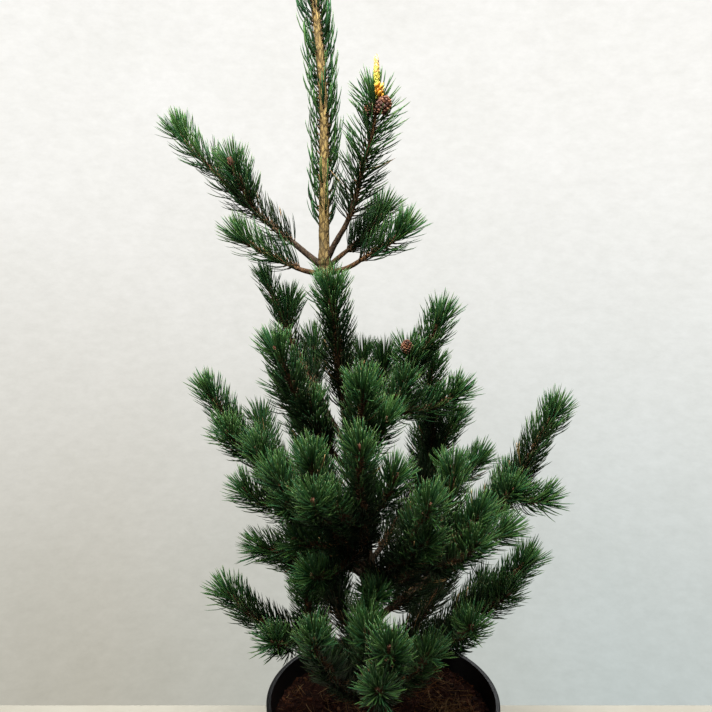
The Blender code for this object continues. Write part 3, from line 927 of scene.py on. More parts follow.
# %% Bark finish
def bark_finish(name, young, old, dark, age_from=None):
    material, tree, shader = new_finish(name, 0.82, 0.25)
    where = add_node(tree, "ShaderNodeTexCoord").outputs["Object"]
    if age_from:
        axes = add_node(tree, "ShaderNodeSeparateXYZ")
        tree.links.new(where, axes.inputs[0])
        age = add_node(tree, "ShaderNodeMapRange")
        feed(tree, age, "Value", axes.outputs[2])
        age.inputs["From Min"].default_value = age_from[0]
        age.inputs["From Max"].default_value = age_from[1]
        age.inputs["To Min"].default_value = 1.0
        age.inputs["To Max"].default_value = 0.0
        age = age.outputs[0]
    else:
        age = add_node(tree, "ShaderNodeAttribute", attribute_name="age").outputs["Fac"]
    patches = noise(tree, where, 90.0, 4.0, 0.6, stretch=(1.0, 1.0, 0.45))
    fine = noise(tree, where, 420.0, 3.0, 0.6, stretch=(1.0, 1.0, 0.35))
    cells = add_node(tree, "ShaderNodeTexVoronoi", feature="DISTANCE_TO_EDGE")
    mapping = add_node(tree, "ShaderNodeMapping")
    tree.links.new(where, mapping.inputs["Vector"])
    mapping.inputs["Scale"].default_value = (1.0, 1.0, 0.42)
    tree.links.new(mapping.outputs[0], cells.inputs["Vector"])
    cells.inputs["Scale"].default_value = 260.0
    edge = maths(tree, "MULTIPLY", cells.outputs["Distance"], 5.0, clamp=True)
    mixed_age = maths(tree, "ADD", age, maths(tree, "MULTIPLY", maths(tree, "SUBTRACT", patches, 0.5), 0.5),
                      clamp=True)
    body = mixed(tree, mixed_age, young, old)
    body = mixed(tree, ramp(tree, fine, [(0.40, (0, 0, 0)), (0.62, (1, 1, 1))]),
                 mixed(tree, 1.0, body, (0.52, 0.48, 0.44), "MULTIPLY"), body)
    body = mixed(tree, maths(tree, "MULTIPLY", maths(tree, "SUBTRACT", 1.0, edge), 0.75), body, dark)
    pale = ramp(tree, patches, [(0.60, (0, 0, 0)), (0.72, (1, 1, 1))])
    body = mixed(tree, maths(tree, "MULTIPLY", pale, 0.30), body, (0.22, 0.20, 0.14))
    tree.links.new(body, shader.inputs["Base Color"])
    height = maths(tree, "ADD", maths(tree, "MULTIPLY", edge, 0.7), maths(tree, "MULTIPLY", fine, 0.5))
    bump(tree, shader, height, 0.8, 0.0008)
    return material


bough_bark = bark_finish("bough_bark", (0.200, 0.100, 0.036), (0.060, 0.038, 0.022), (0.020, 0.012, 0.008))
trunk_bark = bark_finish("trunk_bark", (0.370, 0.265, 0.098), (0.080, 0.052, 0.030), (0.030, 0.017, 0.009),
                         (0.64, 0.74))
print("bark finishes are ready")

# %% Make the boughs' wood
BOUGH_SIDES = 12


def set_age(piece, stems):
    """Writes how old the bark is at each point.

    It is the distance from the nearest tip, up to a full bough's length.
    """
    spots, ages = [], []
    for points, radii in stems:
        run = np.linalg.norm(points - points[-1], axis=1)
        spots.append(points)
        ages.append(np.clip(run / 0.16, 0.0, 1.0))
    spots, ages = np.vstack(spots), np.concatenate(ages)
    places = np.zeros(len(piece.data.vertices) * 3)
    piece.data.vertices.foreach_get("co", places)
    places = places.reshape(-1, 3)
    nearest = np.array([np.argmin(np.sum((spots - place) ** 2, axis=1)) for place in places])
    age = piece.data.attributes.new("age", "FLOAT", "POINT")
    age.data.foreach_set("value", ages[nearest])


def bough_wood(name, stems):
    wood = stem_tube("stem_" + name, *stems[0], BOUGH_SIDES)
    for points, radii in stems[1:]:
        shoot = stem_tube("shoot", points, radii, BOUGH_SIDES - 2)
        union = wood.modifiers.new("fork", "BOOLEAN")
        union.operation = "UNION"
        union.solver = "EXACT"
        union.object = shoot
        apply_all(wood)
        bpy.data.objects.remove(shoot)
    roughen(wood, "bark_lumps", "CLOUDS", 0.006, 0.0009)
    apply_all(wood)
    set_age(wood, stems)
    hand_over(wood, bough_bark, "young_bark" if name.startswith("1") else "bark", "bough_" + name)
    return wood


for name, stems in boughs.items():
    bough_wood(name, stems)

# %% [markdown]
# ## The trunk
#
# The trunk swells where a tier of boughs leaves it, and its lower part is scaly and furrowed. The leader
# above the top tier is last year's growth, so it is smooth, straight and ochre.

# %% Make the trunk
TIERS = (0.238, 0.355, 0.480, 0.693)
SWELLING = 0.16
SWELL_LENGTH = 0.012
TRUNK_SIDES = 28

radii = trunk_line[:, 3].copy()
for tier in TIERS:
    radii *= 1.0 + SWELLING * np.exp(-(((trunk_line[:, 2] - tier) / SWELL_LENGTH) ** 2))
trunk = stem_tube("trunk_and_leader", trunk_line[:, :3], radii, TRUNK_SIDES)
roughen(trunk, "trunk_lumps", "CLOUDS", 0.014, 0.0016)
roughen(trunk, "trunk_scales", "STUCCI", 0.004, 0.0007)
apply_all(trunk)
hand_over(trunk, trunk_bark, "bark", "trunk")
print("the trunk has", len(trunk.data.polygons), "faces")

# %% [markdown]
# ## Winter buds
#
# Every shoot ends in a bud: a pointed egg of thin red-brown scales that overlap like roof tiles. One scale
# is modelled from a flattened sphere, pinched to a point and bent inwards. A rule then lays it in a
# golden-angle spiral over an egg shape, which also serves for the scaly candle.

# %% Model the bud scale
SCALE_LENGTH = 0.0034
SCALE_WIDTH = 0.0019
SCALE_DEPTH = 0.0006


def bud_scale(bend):
    """A pointed scale along +Z whose back looks towards +X."""
    bpy.ops.object.select_all(action="DESELECT")
    bpy.ops.mesh.primitive_uv_sphere_add(segments=6, ring_count=6, radius=0.5, location=(0.0, 0.0, 0.5))
    made = settle(bpy.context.object)
    pick(made, lambda place: place.z > 0.7)
    bpy.ops.transform.resize(value=(0.7, 0.55, 1.0), center_override=(0.0, 0.0, 0.0))
    bpy.ops.object.mode_set(mode="OBJECT")
    made.scale = (SCALE_DEPTH, SCALE_WIDTH, SCALE_LENGTH)
    settle(made)
    bending = made.modifiers.new("bend", "SIMPLE_DEFORM")
    bending.deform_method = "BEND"
    bending.deform_axis = "Y"
    bending.angle = radians(-bend)
    apply_all(made)
    return made


scale_shape = read_shape([bud_scale(bend) for bend in (10, 28, 46)])
print("a bud scale has", len(scale_shape["starts"]), "faces")

# %% The finish of scales
BUD_TONES = [(0.105, 0.036, 0.020), (0.140, 0.052, 0.026), (0.078, 0.026, 0.016), (0.190, 0.095, 0.050)]
CONE_TONES = [(0.165, 0.066, 0.034), (0.215, 0.095, 0.048), (0.110, 0.042, 0.026), (0.075, 0.036, 0.028)]
CANDLE_TONES = [(0.42, 0.46, 0.06), (0.60, 0.52, 0.08), (0.85, 0.50, 0.16), (0.92, 0.62, 0.36)]
POLLEN_TONES = [(0.88, 0.48, 0.03), (0.95, 0.62, 0.10), (0.70, 0.33, 0.03), (0.90, 0.72, 0.22)]
CONE_TONE, CANDLE_TONE, POLLEN_TONE = 4, 8, 12


def scale_finish():
    material, tree, shader = new_finish("bud_and_cone_scales", 0.62, 0.35)
    strip, tone, across, along = strip_axes(tree)
    body = ramp(tree, tone, tone_stops(BUD_TONES + CONE_TONES + CANDLE_TONES + POLLEN_TONES), "CONSTANT")
    shade = ramp(tree, along, [(0.0, (0.35, 0.32, 0.32)), (0.35, (0.85, 0.85, 0.85)),
                               (0.80, (1.15, 1.12, 1.08))])
    body = mixed(tree, 1.0, body, shade, "MULTIPLY")
    mottle = noise(tree, strip, 90.0, 3.0, stretch=(1.0, 0.2, 1.0))
    body = mixed(tree, maths(tree, "MULTIPLY", mottle, 0.5), body,
                 mixed(tree, 1.0, body, (0.5, 0.45, 0.4), "MULTIPLY"))
    resin = maths(tree, "GREATER_THAN", maths(tree, "MULTIPLY", along, mottle), 0.52)
    body = mixed(tree, maths(tree, "MULTIPLY", resin, 0.35), body, (0.50, 0.42, 0.34))
    tree.links.new(body, shader.inputs["Base Color"])
    return material


scales_finish = scale_finish()
print("scale finish has", len(scales_finish.node_tree.nodes), "nodes")

# %% Scales over an egg
def egg_spiral(count, length, radius, blunt):
    """Spots on an egg's surface from its foot to its tip: share of the length, height, radius and turn."""
    share = (np.arange(count) + 0.5) / count
    wide = radius * np.sin(pi * (0.16 + 0.84 * share)) ** blunt
    return share, length * share, wide, GOLDEN_ANGLE * np.arange(count)


def scaly_egg(shape, foot, axis, length, radius, count, tones, *, blunt=0.8, lift=0.25, outward=False,
              size=1.0):
    """Copies of a scale spiralled over an egg that stands on its foot along an axis."""
    share, height, wide, turn = egg_spiral(count, length, radius, blunt)
    axis = np.asarray(axis, float) / np.linalg.norm(axis)
    side = np.cross(axis, np.array([0.37, 0.21, 0.9]))
    side /= np.linalg.norm(side)
    over = np.cross(axis, side)
    radial = side * np.cos(turn)[:, None] + over * np.sin(turn)[:, None]
    slope = np.arctan2(-np.gradient(wide), np.gradient(height))[:, None]
    tangent = axis * np.cos(slope) - radial * np.sin(slope)
    normal = radial * np.cos(slope) + axis * np.sin(slope)
    spots = np.asarray(foot) + axis * height[:, None] + radial * wide[:, None]
    if outward:
        main, lean = normal_rows(normal + tangent * lift), tangent
    else:
        main, lean = normal_rows(tangent + normal * lift), normal
    sizes = size * (0.62 + 0.55 * np.sin(pi * (0.12 + 0.80 * share))) * luck.normal(1.0, 0.06, count)
    version = luck.integers(0, len(shape["versions"]), count)
    return copies(shape, version, turned_to(main, lean), sizes, spots, tones + luck.integers(0, 4, count))


BUD_LENGTH = 0.0062
BUD_RADIUS = 0.0018
BUD_SCALES = 22


def bud(points, tones=0, length=BUD_LENGTH, radius=BUD_RADIUS, scales=BUD_SCALES):
    """The bud at the tip of a line of points."""
    way = points[-1] - points[-2]
    way = way / np.linalg.norm(way)
    way = normal_rows((way + UP * 0.25)[None])[0]
    foot = points[-1] - way * 0.0008
    core = copies(scale_shape, [0], turned_to(way[None], np.array([[1.0, 0.2, 0.0]])),
                  [[4.6 * radius / 0.0018, 1.5 * radius / 0.0018, length / SCALE_LENGTH]], foot[None],
                  [tones])
    return [core, scaly_egg(scale_shape, foot, way, length * 0.72, radius, scales, tones,
                            size=length / BUD_LENGTH)]


groups = []
BIG_BUDS = {("1_left", 1): 1.45, ("2_right", 1): 1.4, ("2_front_top", 0): 1.35, ("3_front", 0): 1.25}
for name, stems in boughs.items():
    for number, (points, radii) in enumerate(stems):
        if (name, number) == ("1_right", 0):
            continue  # its bud has already grown into the candle
        grown = BIG_BUDS.get((name, number), 1.0) * luck.uniform(0.85, 1.15)
        groups += bud(points, length=BUD_LENGTH * grown, radius=BUD_RADIUS * grown)
leader_tip = trunk_line[-8:, :3]
groups += bud(leader_tip, length=0.012, radius=0.0030, scales=34)
buds = joined("winter_buds", groups)
hand_over(buds, scales_finish, "cone_scales")
print(len(buds.data.polygons), "faces of buds")

# %% [markdown]
# ## The cones
#
# Young pine cones are tight knobs of rhombic scales, each with a small boss in the middle. A scale is a
# four-sided frustum whose top is drawn in and raised. Fifty or so in the same spiral cover an egg-shaped
# core.

# %% Model the cone scale
def cone_scale(rise):
    """A rhombic scale that looks towards +Z, its long diagonal across."""
    bpy.ops.object.select_all(action="DESELECT")
    bpy.ops.mesh.primitive_cone_add(vertices=4, radius1=0.00175, radius2=0.0014, depth=0.0016,
                                    location=(0, 0, 0.0002))
    made = settle(bpy.context.object)
    pick(made, lambda centre, normal: normal.z > 0.9, "faces")
    bpy.ops.mesh.inset(thickness=0.00055)
    bpy.ops.transform.translate(value=(0.0, 0.0, 0.0005 * rise))
    bpy.ops.mesh.inset(thickness=0.0003)
    bpy.ops.transform.translate(value=(0.0002, 0.0, 0.0004 * rise))
    bpy.ops.object.mode_set(mode="OBJECT")
    made.scale = (0.85, 1.25, 1.0)
    return settle(made)


cone_scale_shape = read_shape([cone_scale(rise) for rise in (0.7, 1.0, 1.35)])
print("a cone scale has", len(cone_scale_shape["starts"]), "faces")

# %% Make the cones
CONE_RADIUS = 0.0074
CONE_STRETCH = 1.12
CONE_SCALES = 58
CONES = {  # name: (bough, its stem, fraction along that, direction away from it, share of the full size)
    "cone_top": ("1_right", 0, 0.97, (1.0, -0.75, 0.0), 1.0),
    "cone_top_left": ("1_right", 0, 0.95, (-1.0, -0.35, 0.0), 0.72),
    "cone_middle": ("2_right", 3, 1.00, (-0.2, -0.3, 1.0), 0.78),
}


def make_cone(name):
    bough, number, share, direction, size = CONES[name]
    points, radii = boughs[bough][number]
    away = np.array(direction) / np.linalg.norm(direction)
    radius = CONE_RADIUS * size
    centre = point_on(points, share) + away * (radius + 0.0016)
    half = radius * CONE_STRETCH
    axis = normal_rows((UP + away * 0.35)[None])[0]
    foot = centre - axis * half
    only_core = copies(scale_shape, [0], turned_to(axis[None], away[None]),
                       [[1.75 * radius / SCALE_DEPTH, 1.75 * radius / SCALE_WIDTH,
                         1.9 * half / SCALE_LENGTH]],
                       foot[None], [CONE_TONE + 2])
    scales = scaly_egg(cone_scale_shape, foot, axis, 2 * half, radius * 0.86, CONE_SCALES, CONE_TONE,
                       blunt=0.62, lift=0.35, outward=True, size=size * 1.05)
    made = joined("scaly_" + name, [only_core, scales])
    made.data.shade_flat()
    hand_over(made, scales_finish, "cone_scales", name)
    return made


for name in CONES:
    print(name, len(make_cone(name).data.polygons), "faces")

# %% [markdown]
# ## The candle
#
# In spring the bud at a strong tip stretches into a candle: an upright shoot wrapped in fringed scales,
# green and yellow below and orange-pink at its point. Pollen cones crowd its foot, like a bunch of orange
# grains.

# %% Make the candle
CANDLE_LENGTH = 0.0425
CANDLE_RADIUS = 0.0027
CANDLE_SCALES = 150
POLLEN_GRAINS = 17


def pollen_cone():
    """A small knobbly egg along +Z."""
    bpy.ops.object.select_all(action="DESELECT")
    bpy.ops.mesh.primitive_uv_sphere_add(segments=8, ring_count=7, radius=0.5, location=(0.0, 0.0, 0.5))
    made = settle(bpy.context.object)
    bpy.ops.object.mode_set(mode="EDIT")
    bpy.ops.mesh.select_all(action="SELECT")
    bpy.ops.transform.vertex_random(offset=0.05, seed=4)
    bpy.ops.object.mode_set(mode="OBJECT")
    made.scale = (0.0029, 0.0029, 0.0068)
    return settle(made)


pollen_shape = read_shape([pollen_cone()])
candle_foot = boughs["1_right"][0][0][-1]
share = egg_spiral(CANDLE_SCALES, CANDLE_LENGTH, CANDLE_RADIUS, 0.30)[0]
scales = scaly_egg(scale_shape, candle_foot, UP, CANDLE_LENGTH - 0.002, CANDLE_RADIUS, CANDLE_SCALES,
                   CANDLE_TONE,
                   blunt=0.30, lift=0.16, size=1.05)
step = len(scales["uv"]) // CANDLE_SCALES
tone = np.clip(np.floor(4 * share**1.6 + luck.normal(0.0, 0.35, CANDLE_SCALES)), 0, 3)
scales["uv"][:, 0] = (scales["uv"][:, 0] * TONES) % 1.0 / TONES + np.repeat(CANDLE_TONE + tone, step) / TONES
core = copies(scale_shape, [0], turned_to(UP[None], np.array([[1.0, 0.0, 0.0]])),
              [[7.5, 2.4, (CANDLE_LENGTH - 0.002) / SCALE_LENGTH]], candle_foot[None], [CANDLE_TONE + 1])
rank = np.arange(POLLEN_GRAINS)
around = GOLDEN_ANGLE * rank
reach = np.stack([np.cos(around) + 0.75, np.sin(around) - 0.55, np.full(POLLEN_GRAINS, 0.25)], axis=1)
main = normal_rows(normal_rows(reach) + UP * 0.9)
spots = candle_foot + normal_rows(reach) * 0.0026 + UP * (0.001 + 0.011 * rank / POLLEN_GRAINS)[:, None]
grains = copies(pollen_shape, np.zeros(POLLEN_GRAINS, int), turned_to(main, reach),
                luck.uniform(0.8, 1.15, POLLEN_GRAINS),
                spots, POLLEN_TONE + luck.integers(0, 4, POLLEN_GRAINS))
candle = joined("candle_and_pollen_cones", [core, scales, grains])
hand_over(candle, scales_finish, "new_shoot", "candle")
print("the candle has", len(candle.data.polygons), "faces")

# %% [markdown]
# ## The container
#
# Nursery containers are moulded in thin black plastic: a tapered wall, a thicker band round the rim that
# lets them stack and be gripped, shallow rings that stiffen the wall, and drain holes in the base. The
# container is turned from one outline, ring by ring: a circle of edges is extruded and widened or narrowed
# again and again, and both ends are filled. The holes are cut with a Boolean.

# %% Outline of the container
RIM_RADIUS = 0.130
RIM_BAND = 0.012
RIM_OVERHANG = 0.0035
BASE_RADIUS = 0.098
POT_WALL = 0.0018
POT_FLOOR = 0.0025
BASE_ROUND = 0.004
DRAIN_HOLES = 6
DRAIN_RADIUS = 0.006
DRAIN_CIRCLE = 0.072
TURNS = 160  # sides of the container
WALL_RINGS = (0.060, 0.118, 0.176)  # heights of the stiffening rings
RING_RISE = 0.0007


def corner(centre, radius, start, end, steps=5):
    """Points of an arc in the outline; angles in degrees, 0 is outwards and 90 is up."""
    return [(centre[0] + radius * cos(radians(start + (end - start) * step / steps)),
             centre[1] + radius * sin(radians(start + (end - start) * step / steps)))
            for step in range(steps + 1)]


wall_foot = BASE_RADIUS - POT_WALL
wall_top = RIM_RADIUS - RIM_OVERHANG


def outer_wall(height):
    """The outer wall's radius, with its stiffening rings."""
    share = (height - BASE_ROUND) / (POT_HEIGHT - RIM_BAND - BASE_ROUND)
    plain = BASE_RADIUS + (wall_top - BASE_RADIUS) * share
    return plain + sum(RING_RISE * np.exp(-(((height - ring) / 0.0016) ** 2)) for ring in WALL_RINGS)


inside = [(0.012, POT_FLOOR), (0.050, POT_FLOOR)]
inside += corner((wall_foot - BASE_ROUND, POT_FLOOR + BASE_ROUND), BASE_ROUND, -90, 0)
inside += [(wall_top - POT_WALL, POT_HEIGHT - RIM_BAND)]
rim = corner((wall_top - POT_WALL + 0.0008, POT_HEIGHT - 0.0008), 0.0008, 180, 90)
rim += corner((RIM_RADIUS - 0.0010, POT_HEIGHT - 0.0010), 0.0010, 90, 0)
rim += [(RIM_RADIUS - 0.0002, POT_HEIGHT - 0.006)]
rim += corner((RIM_RADIUS - 0.0008, POT_HEIGHT - RIM_BAND + 0.0008), 0.0008, 0, -90)
rim += [(wall_top + 0.0004, POT_HEIGHT - RIM_BAND - 0.0001), (wall_top, POT_HEIGHT - RIM_BAND - 0.0012)]
wall_heights = [POT_HEIGHT - RIM_BAND - 0.006]
for ring in reversed(WALL_RINGS):
    wall_heights += [ring + offset for offset in (0.004, 0.0022, 0.0012, 0.0, -0.0012, -0.0022, -0.004)]
outside = [(outer_wall(height), height) for height in wall_heights]
under = corner((BASE_RADIUS - BASE_ROUND, BASE_ROUND), BASE_ROUND, 0, -90)
under += [(BASE_RADIUS - 0.009, 0.0), (BASE_RADIUS - 0.0098, 0.0008), (0.050, 0.0008), (0.012, 0.0008)]
OUTLINE = inside + rim + outside + under
print("the outline has", len(OUTLINE), "points")

# %% Turn the container
def turned_solid(name, outline, sides):
    """A solid of revolution, extruded ring by ring from its outline, with both ends filled."""
    bpy.ops.object.select_all(action="DESELECT")
    radius, height = outline[0]
    bpy.ops.mesh.primitive_circle_add(vertices=sides, radius=radius, fill_type="NOTHING",
                                      location=(0.0, 0.0, height))
    made = settle(bpy.context.object)
    made.name = name
    bpy.ops.object.mode_set(mode="EDIT")
    bpy.ops.mesh.select_mode(type="VERT")
    bpy.ops.mesh.select_all(action="SELECT")
    for next_radius, next_height in outline[1:]:
        bpy.ops.mesh.extrude_region_move(TRANSFORM_OT_translate={"value": (0.0, 0.0, next_height - height)})
        factor = next_radius / radius
        bpy.ops.transform.resize(value=(factor, factor, 1.0), center_override=(0.0, 0.0, next_height))
        radius, height = next_radius, next_height
    bpy.ops.mesh.select_all(action="SELECT")
    bpy.ops.mesh.fill_holes(sides=0)
    bpy.ops.mesh.select_all(action="SELECT")
    bpy.ops.mesh.normals_make_consistent(inside=False)
    bpy.ops.object.mode_set(mode="OBJECT")
    return made


container = turned_solid("container", OUTLINE, TURNS)
for hole in range(DRAIN_HOLES):
    turn = tau * (hole + 0.43) / DRAIN_HOLES
    bpy.ops.object.select_all(action="DESELECT")
    bpy.ops.mesh.primitive_cylinder_add(
        vertices=32, radius=DRAIN_RADIUS, depth=0.02,
        location=(DRAIN_CIRCLE * cos(turn), DRAIN_CIRCLE * sin(turn), 0.0)
    )
    drill = settle(bpy.context.object)
    cut = container.modifiers.new("drain", "BOOLEAN")
    cut.operation = "DIFFERENCE"
    cut.object = drill
    apply_all(container)
    bpy.data.objects.remove(drill)
only(container)
bpy.ops.object.shade_smooth_by_angle(angle=radians(40))
print("the container has", len(container.data.polygons), "faces")

# %% [markdown]
# Black plastic is never quite black: it is satin, with a fine moulded grain, dry soil dust that gathers near
# the base, and pale scuffs where pots rubbed together.

# %% Container finish
def plastic_finish():
    material, tree, shader = new_finish("black_plastic", 0.38, 0.45)
    where = add_node(tree, "ShaderNodeTexCoord").outputs["Object"]
    axes = add_node(tree, "ShaderNodeSeparateXYZ")
    tree.links.new(where, axes.inputs[0])
    grain = noise(tree, where, 900.0, 2.0)
    cloud = noise(tree, where, 22.0, 5.0, 0.6)
    scuff = noise(tree, where, 60.0, 4.0, 0.7, stretch=(0.6, 0.6, 6.0))
    body = mixed(tree, cloud, (0.0055, 0.0055, 0.0060), (0.0120, 0.0115, 0.0110))
    scuffs = ramp(tree, scuff, [(0.62, (0, 0, 0)), (0.70, (1, 1, 1))])
    body = mixed(tree, maths(tree, "MULTIPLY", scuffs, 0.18), body, (0.060, 0.058, 0.055))
    low = add_node(tree, "ShaderNodeMapRange")
    feed(tree, low, "Value", axes.outputs[2])
    low.inputs["From Min"].default_value = 0.070
    low.inputs["From Max"].default_value = 0.0
    dust = maths(tree, "MULTIPLY", maths(tree, "MULTIPLY", low.outputs[0], cloud), 0.55, clamp=True)
    body = mixed(tree, dust, body, (0.060, 0.042, 0.028))
    tree.links.new(body, shader.inputs["Base Color"])
    rough = maths(tree, "ADD", 0.34, maths(tree, "MULTIPLY", cloud, 0.25))
    tree.links.new(maths(tree, "ADD", rough, maths(tree, "MULTIPLY", dust, 0.3)), shader.inputs["Roughness"])
    bump(tree, shader, grain, 0.25, 0.0003)
    return material


hand_over(container, plastic_finish(), "black_plastic", "pot")
print("the container replaces its plain solid")

# %% [markdown]
# ## The potting soil
#
# The root ball fills the container to a little over two centimetres below the rim. Its skin is turned in
# fine rings and then pushed up and down by cloud textures; only the top is touched, through a vertex group.

# %% Make the soil
SOIL_EDGE = 0.187
SOIL_GAP = 0.0006
flare = (wall_top - wall_foot - POT_WALL) / (POT_HEIGHT - RIM_BAND - POT_FLOOR - BASE_ROUND)
soil_edge = wall_foot + flare * (SOIL_EDGE - POT_FLOOR - BASE_ROUND) - SOIL_GAP
SOIL_RINGS = 46
top_rings = [(0.004 + (soil_edge - 0.008) * ring / SOIL_RINGS,
              SOIL_TOP - (SOIL_TOP - SOIL_EDGE) * (ring / SOIL_RINGS) ** 2)
             for ring in range(SOIL_RINGS + 1)]
soil_outline = top_rings + [(soil_edge - 0.0015, SOIL_EDGE - 0.001), (soil_edge, SOIL_EDGE - 0.004)]
soil_outline += [(wall_foot - SOIL_GAP + flare * (height - POT_FLOOR - BASE_ROUND),
                  height) for height in (0.12, 0.06)]
soil_outline += [(wall_foot - SOIL_GAP, POT_FLOOR + BASE_ROUND + SOIL_GAP),
                 (wall_foot - BASE_ROUND - SOIL_GAP, POT_FLOOR + SOIL_GAP)]
soil_outline += [(0.004, POT_FLOOR + SOIL_GAP)]
soil = turned_solid("soil", soil_outline, 150)
soil.vertex_groups.new(name="top")
soil.vertex_groups.active_index = 0
print("top points:", pick(soil, lambda place: place.z > SOIL_EDGE - 0.0008))
bpy.context.scene.tool_settings.vertex_group_weight = 1.0
bpy.ops.object.vertex_group_assign()
bpy.ops.object.mode_set(mode="OBJECT")
for texture, kind, scale, strength in (("soil_heaps", "CLOUDS", 0.030, 0.0060),
                                       ("soil_clods", "CLOUDS", 0.007, 0.0042),
                                       ("soil_grains", "STUCCI", 0.0025, 0.0016)):
    roughen(soil, texture, kind, scale, strength)
    soil.modifiers[texture].vertex_group = "top"
apply_all(soil)
bpy.ops.object.shade_smooth()
print("the soil has", len(soil.data.polygons), "faces")

# %% Soil finish
def soil_finish():
    material, tree, shader = new_finish("potting_soil", 0.95, 0.15)
    where = add_node(tree, "ShaderNodeTexCoord").outputs["Object"]
    heaps = noise(tree, where, 35.0, 5.0, 0.65)
    grains = noise(tree, where, 420.0, 4.0, 0.7)
    flecks = add_node(tree, "ShaderNodeTexVoronoi")
    tree.links.new(where, flecks.inputs["Vector"])
    flecks.inputs["Scale"].default_value = 520.0
    body = ramp(tree, grains, [(0.30, (0.0060, 0.0016, 0.0010)), (0.48, (0.0200, 0.0054, 0.0028)),
                               (0.60, (0.0440, 0.0130, 0.0060)), (0.74, (0.100, 0.040, 0.018))])
    body = mixed(tree, maths(tree, "MULTIPLY", heaps, 0.55), body, (0.0100, 0.0026, 0.0016))
    pale = maths(tree, "LESS_THAN", flecks.outputs["Distance"], 0.16)
    body = mixed(tree, maths(tree, "MULTIPLY", pale, 0.40), body, (0.115, 0.060, 0.032))
    tree.links.new(body, shader.inputs["Base Color"])
    bump(tree, shader, grains, 1.0, 0.0012)
    return material


hand_over(soil, soil_finish(), "bark_mix", "potting_soil")
print("the soil replaces its plain solid")

# %% [markdown]
# ## Bark chips, crumbs and litter
#
# Potting mix for pines is mostly composted bark. Chips and crumbs are a bevelled block and a rough ball
# whose corners are shaken, each in several versions. They lie on the soil with their flat sides nearly
# level. Fallen needle pairs, dry root fibres and tufts of dead grass lie between them: all of these are the
# needle shape again, in other lengths.

# %% Model the chip and the crumb
def shaken(kind, seed):
    bpy.ops.object.select_all(action="DESELECT")
    if kind == "chip":
        bpy.ops.mesh.primitive_cube_add(size=1.0)
    else:
        bpy.ops.mesh.primitive_ico_sphere_add(subdivisions=1, radius=0.5)
    made = bpy.context.object
    bpy.ops.object.mode_set(mode="EDIT")
    bpy.ops.mesh.select_all(action="SELECT")
    if kind == "chip":
        bpy.ops.mesh.bevel(offset=0.16, segments=1)
    bpy.ops.transform.vertex_random(offset=0.13, seed=seed)
    bpy.ops.object.mode_set(mode="OBJECT")
    return settle(made)


chip_shape = read_shape([shaken("chip", seed) for seed in range(1, 7)])
crumb_shape = read_shape([shaken("crumb", seed) for seed in range(1, 5)])
print(len(chip_shape["starts"]), "faces on a chip,", len(crumb_shape["starts"]), "on a crumb")

# %% Litter finish
CHIP_TONES = [(0.030, 0.0085, 0.0045), (0.056, 0.0170, 0.0080), (0.098, 0.0330, 0.0140),
              (0.0140, 0.0042, 0.0026),
              (0.155, 0.068, 0.030), (0.040, 0.0150, 0.0085)]
STRAW_TONES = [(0.190, 0.100, 0.040), (0.290, 0.165, 0.060), (0.120, 0.055, 0.022), (0.380, 0.240, 0.110),
               (0.200, 0.085, 0.022), (0.085, 0.036, 0.016)]
STRAW_TONE = len(CHIP_TONES)


def litter_finish():
    material, tree, shader = new_finish("litter", 0.90, 0.18)
    strip, tone, across, along = strip_axes(tree)
    body = ramp(tree, tone, tone_stops(CHIP_TONES + STRAW_TONES), "CONSTANT")
    fibres = noise(tree, strip, 120.0, 4.0, 0.7, stretch=(1.0, 0.15, 1.0))
    body = mixed(tree, ramp(tree, fibres, [(0.36, (1, 1, 1)), (0.60, (0, 0, 0))]), body,
                 mixed(tree, 1.0, body, (0.40, 0.36, 0.34), "MULTIPLY"))
    pale = ramp(tree, fibres, [(0.62, (0, 0, 0)), (0.74, (1, 1, 1))])
    body = mixed(tree, maths(tree, "MULTIPLY", pale, 0.4), body,
                 mixed(tree, 1.0, body, (2.0, 1.9, 1.8), "MULTIPLY"))
    tree.links.new(body, shader.inputs["Base Color"])
    return material


litter = litter_finish()
print("litter finish has", len(litter.node_tree.nodes), "nodes")

# %% Scatter the chips and crumbs
CHIPS = 2400
CRUMBS = 4200
places = np.zeros(len(soil.data.vertices) * 3)
soil.data.vertices.foreach_get("co", places)
soil_points = places.reshape(-1, 3)
soil_points = soil_points[soil_points[:, 2] > SOIL_EDGE - 0.006]
LITTER_EDGE = soil_edge - 0.0015
TRUNK_KEEP = 0.012


def soil_spots(count, edge=LITTER_EDGE):
    """Random places on the soil between the trunk and the container's wall."""
    radius = np.sqrt(luck.uniform(TRUNK_KEEP**2, edge**2, count))
    turn = luck.uniform(0.0, tau, count)
    return on_soil(radius * np.cos(turn), radius * np.sin(turn))


def on_soil(x, y):
    """Points at the soil's height under the given places."""
    height = np.array([soil_points[np.argmin((soil_points[:, 0] - a) ** 2 + (soil_points[:, 1] - b) ** 2), 2]
                       for a, b in zip(x, y)])
    return np.stack([x, y, height], axis=1)


def level_turns(count, tilt):
    """Turns that keep a copy's Z near the vertical."""
    main = normal_rows(UP + luck.normal(0.0, tilt, (count, 3)))
    return turned_to(main, luck.normal(0.0, 1.0, (count, 3)))


